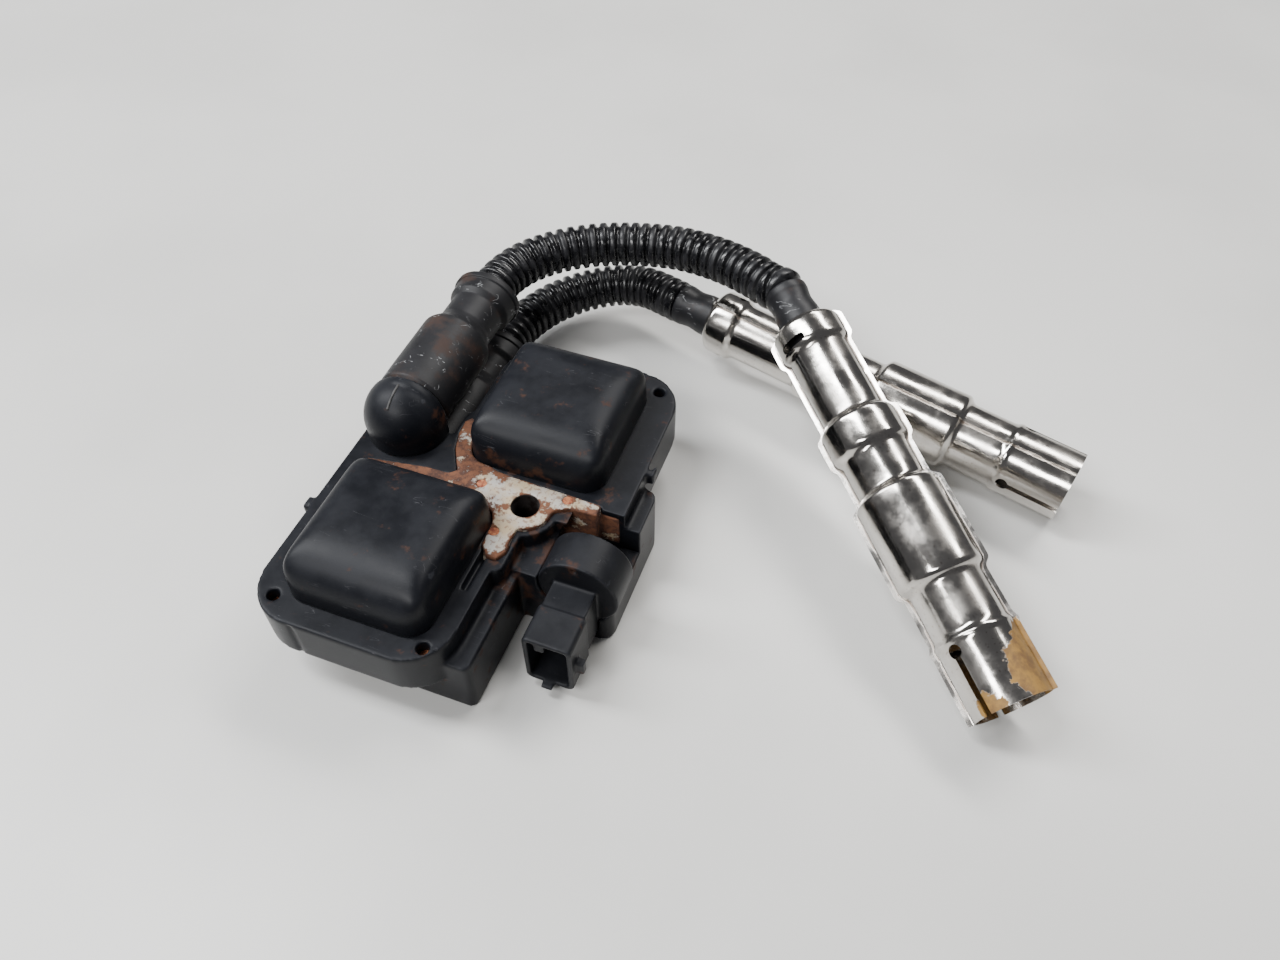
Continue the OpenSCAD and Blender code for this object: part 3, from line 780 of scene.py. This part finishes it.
class Wardrobe:
    """All the finishes, built once and handed out by name."""

    def __init__(self) -> None:
        """Builds every finish."""
        effects = Effects()
        black = (0.0056, 0.0062, 0.0085)
        finishes: list[Finish] = [
            MouldedPlastic("satin_plastic", black, 0.37, 0.14),
            MouldedPlastic("connector_plastic", (0.007, 0.0075, 0.0095), 0.42, 0.15,
                           stains=Patch(190.0, 0.0, 0.06),
                           grain=Grain(3500.0, 500.0, 0.6, 0.08, 0.35)),
            BootRubber("boot_rubber", (0.009, 0.009, 0.0105), 0.5, 0.25),
            BootRubber("clean_rubber", (0.008, 0.008, 0.0095), 0.45, 0.28,
                       smudges=Patch(95.0, 0.05, 0.08)),
            ConduitPlastic("conduit_plastic", (0.0045, 0.0045, 0.0055), 0.2, 0.38),
            PaintedCore("painted_core", (0.38, 0.365, 0.34), 0.42),
            RustySteel("rusty_steel", (0.17, 0.035, 0.018), 0.85),
            TinPlate("tin_plate", (0.60, 0.575, 0.54), 0.12),
            TinPlate("heat_stained_plate", (0.60, 0.575, 0.54), 0.12, spots=(
                ((125.8, 3.5, 4.2), 13.5), ((123.2, 0.6, 7.4), 9.5), ((121.5, 8.5, 6.0), 9.0),
                ((117.2, -10.0, 4.2), 6.0),
            )),
            PlainPart("pale_scar", (0.06, 0.058, 0.058), 0.6, second=(0.012, 0.012, 0.013)),
            PlainPart("bobbin_nylon", (0.72, 0.68, 0.56), 0.55, second=(0.62, 0.57, 0.45)),
            PlainPart("copper_wire", (0.55, 0.20, 0.08), 0.3, second=(0.42, 0.13, 0.05),
                      metal=1.0, lines=900.0),
            PlainPart("potting_resin", (0.03, 0.028, 0.026), 0.25, second=(0.05, 0.046, 0.04)),
            PlainPart("terminal_brass", (0.66, 0.45, 0.17), 0.3, second=(0.50, 0.32, 0.12),
                      metal=1.0),
            PlainPart("tinned_contact", (0.70, 0.69, 0.66), 0.3, second=(0.55, 0.53, 0.5),
                      metal=1.0),
            PlainPart("suppressor_ceramic", (0.80, 0.77, 0.70), 0.45, second=(0.70, 0.66, 0.58)),
        ]
        self.materials = {f.name: f.build(effects) for f in finishes}

    def dress(self, piece: Piece, finish: str) -> None:
        """Gives a piece one finish, in place of any that it has."""
        piece.data.materials.clear()
        piece.data.materials.append(self.materials[finish])


@dataclass
class Fitter:
    """Joins finished pieces to the frame."""

    wardrobe: Wardrobe

    def fit(self, piece: Piece, body: Body, slot: Slot, finish: str,
            *nodes: str) -> Piece:
        """Dresses a new piece and makes it stand for its CAD nodes.

        Args:
            piece: The finished piece.
            body: The body that it rides on.
            slot: A material slot; not used.
            finish: The finish's name.
            nodes: The CAD nodes that it stands for.

        Returns:
            The same piece.
        """
        self.wardrobe.dress(piece, finish)
        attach(piece, body.value)
        if nodes:
            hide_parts(*nodes)
        LOG.info("%s: %d faces, %s", piece.name, len(piece.data.polygons), finish)
        return piece


# Camera and stage


@dataclass(frozen=True)
class Viewpoint:
    """Place, aim and lens of the camera."""

    place: Vector = Vector((0.0794, -0.1329, 0.2075))
    azimuth: float = 20.3
    elevation: float = 50.5
    lens: float = 28.125
    sensor: float = 36.0

    def build(self) -> Piece:
        """Makes the scene's camera and returns it."""
        data = bpy.data.cameras.new("camera")
        data.lens, data.sensor_width = self.lens, self.sensor
        data.clip_start, data.clip_end = 0.01, 20.0
        camera = shown_object("camera", data)
        camera.location = self.place
        camera.rotation_euler = (
            math.radians(90 - self.elevation), 0.0, math.radians(self.azimuth)
        )
        bpy.context.scene.camera = camera
        return camera


@dataclass(frozen=True)
class Softbox:
    """One area light: where it is, what it looks at, its size and its power."""

    name: str
    place: Point
    size: Pair
    power: float
    colour: Colour = (1.0, 1.0, 1.0)
    aim: Point = (0.02, 0.03, 0.0)

    def build(self) -> None:
        """Makes the light."""
        data = bpy.data.lights.new(self.name, "AREA")
        data.shape = "RECTANGLE"
        data.size, data.size_y = self.size
        data.energy = self.power
        data.color = self.colour
        light = shown_object(self.name, data)
        light.location = self.place
        way = Vector(self.aim) - Vector(self.place)
        light.rotation_euler = way.to_track_quat("-Z", "Y").to_euler()


@dataclass(frozen=True)
class Studio:
    """A plain pale floor under soft light."""

    floor_z: float = -0.0125
    floor_size: float = 6.0
    floor_colour: Colour = (0.66, 0.655, 0.635)
    floor_shade: float = 0.93
    floor_roughness: float = 0.38
    world_colour: Colour = (0.10, 0.10, 0.105)
    lights: tuple[Softbox, ...] = (
        Softbox("back_light", (0.30, 0.80, 1.0), (1.0, 0.22), 15.0, (1.0, 0.985, 0.96)),
        Softbox("side_light", (-0.75, -0.05, 1.0), (0.25, 1.0), 24.0, (0.97, 0.985, 1.0)),
        Softbox("front_light", (-0.25, -0.75, 0.95), (0.7, 0.25), 12.0),
    )

    def build(self) -> None:
        """Makes the floor, the lights and the world."""
        bm = bmesh.new()
        bmesh.ops.create_grid(bm, x_segments=4, y_segments=4, size=self.floor_size / 2)
        bmesh.ops.translate(bm, verts=bm.verts, vec=(0, 0, self.floor_z))
        floor = object_from("floor", bm)
        material = bpy.data.materials.new("floor")
        material.use_nodes = True
        brush = Brush(material, Effects())
        share = brush.ramp(brush.cloud(brush.where, 9.0, 5.0), 0.4, 0.65)
        darker = tuple(c * self.floor_shade for c in self.floor_colour)
        brush.settle(brush.mix(share, self.floor_colour, darker), self.floor_roughness)
        floor.data.materials.append(material)
        for light in self.lights:
            light.build()
        world = bpy.data.worlds.new("soft_room")
        world.use_nodes = True
        world.node_tree.nodes["Background"].inputs[0].default_value = (*self.world_colour, 1.0)
        bpy.context.scene.world = world


# Leads


@dataclass(frozen=True)
class Lead:
    """One high-tension lead: its route, and where its metal plug end lies (in mm)."""

    name: str
    body: Body
    route: tuple[Point, ...]
    tip: Point
    heading: float
    rise: float
    roll: float
    shroud_length: float = 112.0
    sleeve_out: float = 12.5
    start_way: Point = (0.0, 1.0, 0.0)

    def axis(self) -> Vector:
        """The way from the plug end's open tip to its collar."""
        h, r = math.radians(self.heading), math.radians(self.rise)
        return Vector((math.cos(r) * math.cos(h), math.cos(r) * math.sin(h), math.sin(r)))

    def placing(self) -> Matrix:
        """The transform from the plug end's own frame, tip at z = 0, to the row frame."""
        return (
            Matrix.Translation(Vector(self.tip) * MM)
            @ Matrix.Rotation(math.radians(self.heading), 4, "Z")
            @ Matrix.Rotation(math.radians(90 - self.rise), 4, "Y")
            @ Matrix.Rotation(math.radians(self.roll), 4, "Z")
        )

    def corners(self) -> list[Vector]:
        """The route's own points with the sleeve's end added, in millimetres."""
        end = Vector(self.tip) + self.axis() * (self.shroud_length + self.sleeve_out)
        return [Vector(p) for p in self.route] + [end]

    def centreline(self, step: float = 1.0) -> list[Vector]:
        """Draws one smooth curve through the route.

        Args:
            step: The distance between its points, about, in millimetres.

        Returns:
            Its points, in millimetres.
        """
        corners = self.corners()
        ways = [Vector(self.start_way)]
        ways += [(c - a).normalized() for a, c in zip(corners, corners[2:])]
        ways.append(-self.axis())
        points = [corners[0]]
        for a, b, way_a, way_b in zip(corners, corners[1:], ways, ways[1:]):
            gap = (b - a).length
            count = max(2, round(gap / step))
            for i in range(1, count + 1):
                t = i / count
                points.append(
                    a * (2 * t**3 - 3 * t**2 + 1) + way_a * gap * (t**3 - 2 * t**2 + t)
                    + b * (3 * t**2 - 2 * t**3) + way_b * gap * (t**3 - t**2)
                )
        return points


def run_length(points: Sequence[Vector]) -> float:
    """Adds up the lengths of a curve's pieces."""
    return sum((b - a).length for a, b in zip(points, points[1:]))


def along(points: Sequence[Vector], bm: bmesh.types.BMesh) -> None:
    """Bends a mesh that stands on Z onto a curve, with no twist.

    Args:
        points: The curve's points, in millimetres.
        bm: The mesh, in metres. Its heights are lengths along the curve.
    """
    stations, frames = [0.0], []
    ways = [(b - a).normalized() for a, b in zip(points, points[1:])]
    ways = [ways[0]] + [(a + b).normalized() for a, b in zip(ways, ways[1:])] + [ways[-1]]
    side = ways[0].cross(Vector((0, 0, 1))).normalized()
    for i, way in enumerate(ways):
        side = (side - way * side.dot(way)).normalized()
        frames.append((points[i], side, way.cross(side)))
        if i:
            stations.append(stations[-1] + (points[i] - points[i - 1]).length)
    i = 0
    for vert in sorted(bm.verts, key=lambda v: v.co.z):
        height = min(max(vert.co.z / MM, 0.0), stations[-1])
        while i < len(stations) - 2 and stations[i + 1] < height:
            i += 1
        t = (height - stations[i]) / (stations[i + 1] - stations[i])
        centre = frames[i][0].lerp(frames[i + 1][0], t)
        across = frames[i][1].lerp(frames[i + 1][1], t).normalized()
        up = frames[i][2].lerp(frames[i + 1][2], t).normalized()
        x, y = vert.co.x, vert.co.y
        vert.co = centre * MM + across * x + up * y


@dataclass(frozen=True)
class Conduit:
    """Corrugated plastic tube along a lead's route (in mm)."""

    lead: Lead
    crest: float = 6.4
    valley: float = 5.25
    pitch: float = 3.15
    sides: int = 40

    def rib(self) -> Profile:
        """One rib's outline: radius against its share of the pitch."""
        return [
            (self.valley, 0.0), (self.valley, 0.16), (self.valley + 0.25, 0.22),
            (self.crest - 0.3, 0.30), (self.crest - 0.06, 0.37), (self.crest, 0.46),
            (self.crest, 0.70), (self.crest - 0.06, 0.79), (self.crest - 0.3, 0.86),
            (self.valley + 0.25, 0.94),
        ]

    def build(self) -> Piece:
        """Makes the tube, closed at both ends, and returns it."""
        points = self.lead.centreline()
        length = run_length(points)
        count = round(length / self.pitch)
        pitch = length / count
        profile: Profile = [(0.0, 0.0)]
        for i in range(count):
            profile += [(r, (i + share) * pitch) for r, share in self.rib()]
        profile += [(self.valley, length), (0.0, length)]
        bm = turned(profile, self.sides)
        along(points, bm)
        bmesh.ops.recalc_face_normals(bm, faces=bm.faces)
        return object_from(f"{self.lead.name}_corrugated_conduit", bm)


@dataclass(frozen=True)
class PlugEnd:
    """The stamped shroud and the rubber sleeve on a lead's end (in mm, from the tip)."""

    lead: Lead
    seed: float
    sheet: float = 0.5
    seam: float = 1.2
    tip: Pair = (19.5, 9.8)
    shank: Pair = (13.2, 9.4)
    barrel: Pair = (25.3, 11.1)
    waist: Pair = (12.0, 9.1)
    ring: Pair = (10.0, 10.4)
    neck: Pair = (23.0, 8.4)
    collar: Pair = (9.0, 9.6)
    lip: float = 7.4
    slot_angles: Pair = (56.0, 110.0)
    slot_width: float = 1.6
    slot_short: float = 4.0
    keyhole: float = 1.7
    cut_depth: float = 10.0
    collar_slot: Point = (60.0, 8.0, 2.2)
    slot_corner: float = 0.9
    dent: float = 0.07
    steps: int = 44
    sleeve_radius: float = 6.2
    sleeve_in: float = 14.0

    def sections(self) -> list[Point]:
        """Start, end and radius of each round section, tip first."""
        found, at = [], 0.0
        for length, radius in (
            self.tip, self.shank, self.barrel, self.waist, self.ring, self.neck, self.collar
        ):
            found.append((at, at + length, radius))
            at += length
        return found

    def outline(self) -> Profile:
        """The shroud's outer outline, with its steps rounded."""
        parts = self.sections()
        slope = 0.7
        corners: Profile = [(parts[0][2], 0.0)]
        for (_, end, radius), (_, _, following) in zip(parts, parts[1:]):
            if following == self.shank[1] and radius == self.tip[1]:
                corners += [(radius, end - 2.6), (radius + 0.35, end - 1.5), (following, end)]
            else:
                corners += [(radius, end - slope), (following, end + slope)]
        total = parts[-1][1]
        corners += [(parts[-1][2], total - 1.4), (self.lip + 0.4, total), (self.lip, total)]
        return subdivided(softened(corners, 0.9), 2.2)

    def half(self, index: int) -> Piece:
        """Makes one stamped half.

        Args:
            index: 0 for the top half and 1 for the bottom one.

        Returns:
            The half, in place.
        """
        words = ("top", "bottom")
        bm = turned(self.outline(), self.steps, math.pi)
        self._flange(bm)
        self._dent(bm, index)
        piece = object_from(f"{self.lead.name}_shroud_{words[index]}", bm)
        wall = piece.modifiers.new("wall", "SOLIDIFY")
        wall.thickness, wall.offset = self.sheet * MM, -1.0
        wall.use_even_offset = False
        baked_down(piece)
        self._cut_slots(piece, self.slot_angles[index])
        turn = Matrix.Rotation(math.pi * index, 4, "Z")
        piece.data.transform(self.lead.placing() @ turn)
        shade(piece, 26.0)
        return piece

    def _flange(self, bm: bmesh.types.BMesh) -> None:
        """Draws the seam flanges out of the half's two long edges.

        Args:
            bm: The half's surface, in its own frame.
        """
        seam = [
            e for e in bm.edges
            if e.is_boundary and all(abs(v.co.y) < 0.01 * MM for v in e.verts)
        ]
        ring_verts = {v for e in seam for v in e.verts}
        for vert in ring_verts:
            radius = abs(vert.co.x)
            lift = self.sheet * MM
            vert.co.y = lift
            vert.co.x = math.copysign(math.sqrt(max(radius**2 - lift**2, 0)), vert.co.x)
        made = bmesh.ops.extrude_edge_only(bm, edges=seam)
        for item in made["geom"]:
            if isinstance(item, bmesh.types.BMVert):
                item.co.x += math.copysign(self.seam * MM, item.co.x)
        bmesh.ops.recalc_face_normals(bm, faces=bm.faces)
        middle = min(bm.faces, key=lambda f: (f.calc_center_median() - Vector((0, 1, 0.05))).length)
        if middle.normal.y < 0:
            bmesh.ops.reverse_faces(bm, faces=bm.faces)

    def _dent(self, bm: bmesh.types.BMesh, index: int) -> None:
        """Pushes the thin sheet in and out a little, as handling does.

        Args:
            bm: The half's surface, in its own frame.
            index: 0 for the top half and 1 for the bottom one.
        """
        shift = Vector((3.1 + index, 7.7, 1.9)) * self.seed
        for vert in bm.verts:
            way = Vector((vert.co.x, vert.co.y, 0))
            if way.length > 0:
                wave = noise.noise(vert.co / MM * 0.11 + shift)
                vert.co += way.normalized() * (wave - 0.6) * self.dent * MM

    def _cut_slots(self, piece: Piece, angle: float) -> None:
        """Cuts the tip's keyhole slot and the collar's oblong slot.

        Args:
            piece: The half, in its own frame.
            angle: Where the keyhole slot is, in degrees from the seam.
        """
        end = self.tip[0] - self.slot_short
        bm = bmesh.new()
        bmesh.ops.create_cube(
            bm, size=MM, matrix=Matrix.Diagonal((self.cut_depth, self.slot_width, end + 2, 1))
        )
        self._cut(piece, bm, angle, end / 2 - 1)
        bm = bmesh.new()
        bmesh.ops.create_cone(
            bm, cap_ends=True, segments=24, radius1=self.keyhole * MM, radius2=self.keyhole * MM,
            depth=self.cut_depth * MM, matrix=Matrix.Rotation(math.pi / 2, 4, "Y"),
        )
        self._cut(piece, bm, angle, end)
        where, wide, tall = self.collar_slot
        bm = bmesh.new()
        bmesh.ops.create_cube(
            bm, size=MM, matrix=Matrix.Diagonal((self.cut_depth, wide, tall, 1))
        )
        bmesh.ops.bevel(bm, geom=list(bm.edges), offset=self.slot_corner * MM, segments=3,
                        profile=0.5, affect="EDGES", material=-1)
        self._cut(piece, bm, where, self.sections()[-1][0] + tall)

    def _cut(self, piece: Piece, bm: bmesh.types.BMesh, degrees: float, height: float) -> None:
        """Moves a cutter to its angle and height (mm) on the wall, and cuts it out."""
        turn = Matrix.Rotation(math.radians(degrees), 4, "Z")
        bm.transform(turn @ Matrix.Translation((self.cut_depth * MM, 0, height * MM)))
        carve(piece, object_from("cutter", bm))

    def sleeve(self) -> Piece:
        """Makes the smooth rubber sleeve between shroud and conduit, and returns it."""
        start = self.lead.shroud_length - self.sleeve_in
        end = self.lead.shroud_length + self.lead.sleeve_out
        r = self.sleeve_radius
        corners = [
            (0.0, start), (r, start), (r, end - 9), (r - 0.5, end - 5.5), (r - 0.2, end - 3),
            (r, end - 2.2), (r, end), (0.0, end),
        ]
        bm = turned(subdivided(softened(corners, 0.8), 3.0), 40)
        bm.transform(self.lead.placing())
        piece = object_from(f"{self.lead.name}_rubber_sleeve", bm)
        shade(piece, 50.0)
        return piece


@dataclass
class Harness:
    """Both leads: conduits, sleeves and shrouds."""

    fitter: Fitter
    diameter: float = 11.8
    upper: Lead = Lead(
        "upper", Body.UPPER_SHROUD,
        ((-39.5, 62.8, 18.5), (-39.4, 68.7, 18.5), (-38, 74.5, 18.7), (-35.2, 79.9, 19),
         (-31.1, 84.7, 19.3), (-26, 88.9, 19.7), (-20.2, 92.3, 20.1), (-13.9, 94.8, 20.6),
         (-7.2, 96.5, 21.1), (-0.4, 97.5, 21.7), (6.5, 97.8, 22.3), (13.3, 96.9, 22.9),
         (19.9, 95.3, 23.5), (26.2, 93.1, 24), (32, 90.5, 24.4), (37, 87.9, 24.5)),
        (122.8, -4.8, -1.7), 131.9, 12.5, 62.0,
    )
    lower: Lead = Lead(
        "lower", Body.LOWER_SHROUD,
        ((-38, 62.8, -2.5), (-38, 66.5, -2.5), (-37.7, 70.3, -2.4), (-37.1, 74, -2.3),
         (-36.1, 77.6, -2.2), (-34.7, 81.1, -2), (-33, 84.5, -1.8), (-30.9, 87.7, -1.5),
         (-28.5, 90.7, -1.3), (-25.8, 93.4, -0.9), (-22.8, 95.8, -0.5), (-19.5, 97.9, -0.1),
         (-15.9, 99.6, 0.4), (-12.1, 100.7, 0.9), (-8.2, 101.1, 1.4), (-4.3, 100.8, 1.9),
         (-0.5, 99.8, 2.3)),
        (128.8, 65.7, -0.8), 165.6, 1.7, 160.0,
    )

    def build(self) -> None:
        for lead, seed, finish in (
            (self.upper, 2.0, "heat_stained_plate"), (self.lower, 1.0, "tin_plate")
        ):
            end = PlugEnd(lead, seed)
            tube = self.fitter.fit(Conduit(lead).build(), Body.COIL, Slot.CONDUIT,
                                   "conduit_plastic", f"{lead.name}_conduit")
            sleeve = self.fitter.fit(end.sleeve(), Body.COIL, Slot.RUBBER, "clean_rubber",
                                     f"{lead.name}_sleeve")
            halves = [
                self.fitter.fit(end.half(i), lead.body, Slot.TIN, finish,
                                f"{lead.name}_shroud_{word}_half")
                for i, word in enumerate(("top", "bottom"))
            ]
            points = lead.centreline()


# Boots


@dataclass(frozen=True)
class Boot:
    """Rubber boot over a tower: a wide grip, a neck and a flared mouth (in mm)."""

    name: str
    x: float
    z: float
    y: float = 16.8
    grip: float = 10.0
    neck: float = 7.6
    bore: float = 6.4
    grip_length: float = 26.0
    length: float = 46.0
    grip_depth: float = 21.0
    flare: float = 9.3
    mouth: float = 7.1
    mouth_depth: float = 3.0
    ear: float = 0.6
    ear_depth: float = -0.5

    def outline(self) -> Profile:
        """The boot's outline: round the outside, and back in to the bore."""
        outside = [
            (self.grip - 0.9, 0.0), (self.grip - 0.1, 0.8), (self.grip, 6.0),
            (self.grip, self.grip_length - 1.2), (self.neck + 0.6, self.grip_length + 2.0),
            (self.neck, self.grip_length + 4.0), (self.neck, self.length - 8.2),
            (self.flare - 0.5, self.length - 6.6), (self.flare - 0.5, self.length - 2.4),
            (self.flare, self.length - 2.2), (self.flare, self.length - 0.4),
            (self.flare - 0.4, self.length), (self.mouth, self.length),
            (self.mouth, self.length - self.mouth_depth),
        ]
        inside = [(0.0, self.length - self.mouth_depth)]
        mouth = [(self.bore, 0.0), (self.bore, self.grip_depth), (0.0, self.grip_depth)]
        shell = softened(outside, 0.45)
        return mouth[::-1] + subdivided(shell, 2.0) + inside

    def build(self) -> Piece:
        """Makes the boot in place and returns it."""
        bm = turned(self.outline(), 56)
        start, end = (self.length - 7.4) * MM, (self.length + 4.0) * MM
        for vert in bm.verts:
            if start < vert.co.z < end and math.hypot(vert.co.x, vert.co.y) > self.neck * MM:
                swell = math.sin(math.pi * (vert.co.z - start) / (end - start))
                vert.co.x *= 1 + swell * self.ear / self.flare
                vert.co.y *= 1 + swell * self.ear_depth / self.flare
        place = Matrix.Translation((self.x * MM, self.y * MM, self.z * MM))
        bm.transform(place @ Matrix.Rotation(-math.pi / 2, 4, "X"))
        piece = object_from(f"{self.name}_rubber_boot", bm)
        shade(piece, 32.0)
        return piece


# Coil body


@dataclass(frozen=True)
class GateScar:
    """Thin raised scar that the mould's gate left on top of the elbow (in mm)."""

    centre: Point = (-40.0, 14.4, 16.9)
    radius: float = 10.95
    width: float = 0.7
    start: float = 50.0
    end: float = 88.0
    steps: int = 24

    def build(self) -> Piece:
        """Makes the scar in place and returns it."""
        bm = bmesh.new()
        first = math.radians(self.start)
        sweep = math.radians(self.end - self.start)
        made = bmesh.ops.create_circle(
            bm, cap_ends=True, segments=10, radius=self.width * MM / 2,
            matrix=Matrix.Rotation(-first, 4, "X") @ Matrix.Translation((0, -self.radius * MM, 0)),
        )
        bmesh.ops.spin(
            bm, geom=list(bm.faces) + list(bm.edges) + made["verts"], cent=(0, 0, 0),
            axis=(-1, 0, 0), dvec=(0, 0, 0), angle=sweep, steps=self.steps, use_merge=False,
        )
        bmesh.ops.recalc_face_normals(bm, faces=bm.faces)
        bmesh.ops.translate(bm, verts=bm.verts, vec=Vector(self.centre) * MM)
        return object_from("elbow_gate_scar", bm)


@dataclass
class CoilBody:
    """The moulded housing with its covers, towers, connector and core."""

    fitter: Fitter
    housing_voxel: float = 0.5
    cover_voxel: float = 0.45
    cover_rounds: int = 70
    cover_rim: float = 13.2
    detail_voxel: float = 0.32

    def build(self) -> None:
        """Makes the body's pieces."""
        plans = (
            ("housing", "moulded_housing", self.housing_voxel, 3, 0.4, Slot.PLASTIC,
             "satin_plastic"),
            ("upper_tower", "upper_elbow_tower", self.cover_voxel, 3, 0.7, Slot.PLASTIC,
             "satin_plastic"),
            ("connector_shell", "keyed_connector", self.detail_voxel, 2, 0.5, Slot.CONNECTOR,
             "connector_plastic"),
            ("core", "laminated_core", 0.4, 2, 0.6, Slot.CORE, "painted_core"),
        )
        for node, name, voxel, rounds, keep, slot, finish in plans:
            self.fitter.fit(recast(node, name, voxel, rounds, keep), Body.COIL, slot, finish, node)
        for side in ("front", "rear"):
            cover = recast(f"{side}_cover", f"{side}_domed_cover", self.cover_voxel,
                           self.cover_rounds, 0.6, self.cover_rim)
            self.fitter.fit(cover, Body.COIL, Slot.PLASTIC, "satin_plastic", f"{side}_cover")
        self.fitter.fit(GateScar().build(), Body.COIL, Slot.PLASTIC, "pale_scar")
        for boot in (Boot("upper", -39.5, 18.5), Boot("lower", -38.0, -2.5)):
            self.fitter.fit(boot.build(), Body.COIL, Slot.RUBBER, "boot_rubber",
                            f"{boot.name}_boot")

    def dress_frame(self, nodes: Iterable[str], finish_of: Callable[[str], str]) -> None:
        """Gives each CAD node that stays its finish.

        Args:
            nodes: The nodes' names.
            finish_of: Gives the finish's name for a node's name.
        """
        for node in nodes:
            self.fitter.wardrobe.dress(bpy.data.objects[node], finish_of(node))


INNER_FINISHES: dict[str, str] = {
    "bobbin": "bobbin_nylon", "winding": "copper_wire", "potting": "potting_resin",
    "tower_post": "terminal_brass", "boot_terminal": "terminal_brass",
    "plug_contact": "terminal_brass", "suppressor": "suppressor_ceramic",
    "connector_pins": "tinned_contact", "plug_boot": "clean_rubber", "tower": "satin_plastic",
    "core_rivets": "rusty_steel", "flange_pins": "rusty_steel",
}


def finish_for(node: str) -> str:
    """Gives the finish of a CAD node that stays, by the kind of part in its name."""
    return next((f for key, f in INNER_FINISHES.items() if key in node), "satin_plastic")


def main() -> None:
    """Builds the camera, the leads, the body and the stage, in that order."""
    logging.basicConfig(level=logging.INFO, format="%(message)s")
    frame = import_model()
    Viewpoint().build()
    fitter = Fitter(Wardrobe())
    Harness(fitter).build()
    coil = CoilBody(fitter)
    coil.build()
    coil.dress_frame(frame["nodes"], finish_for)
    Studio().build()


if __name__ == "__main__":
    main()
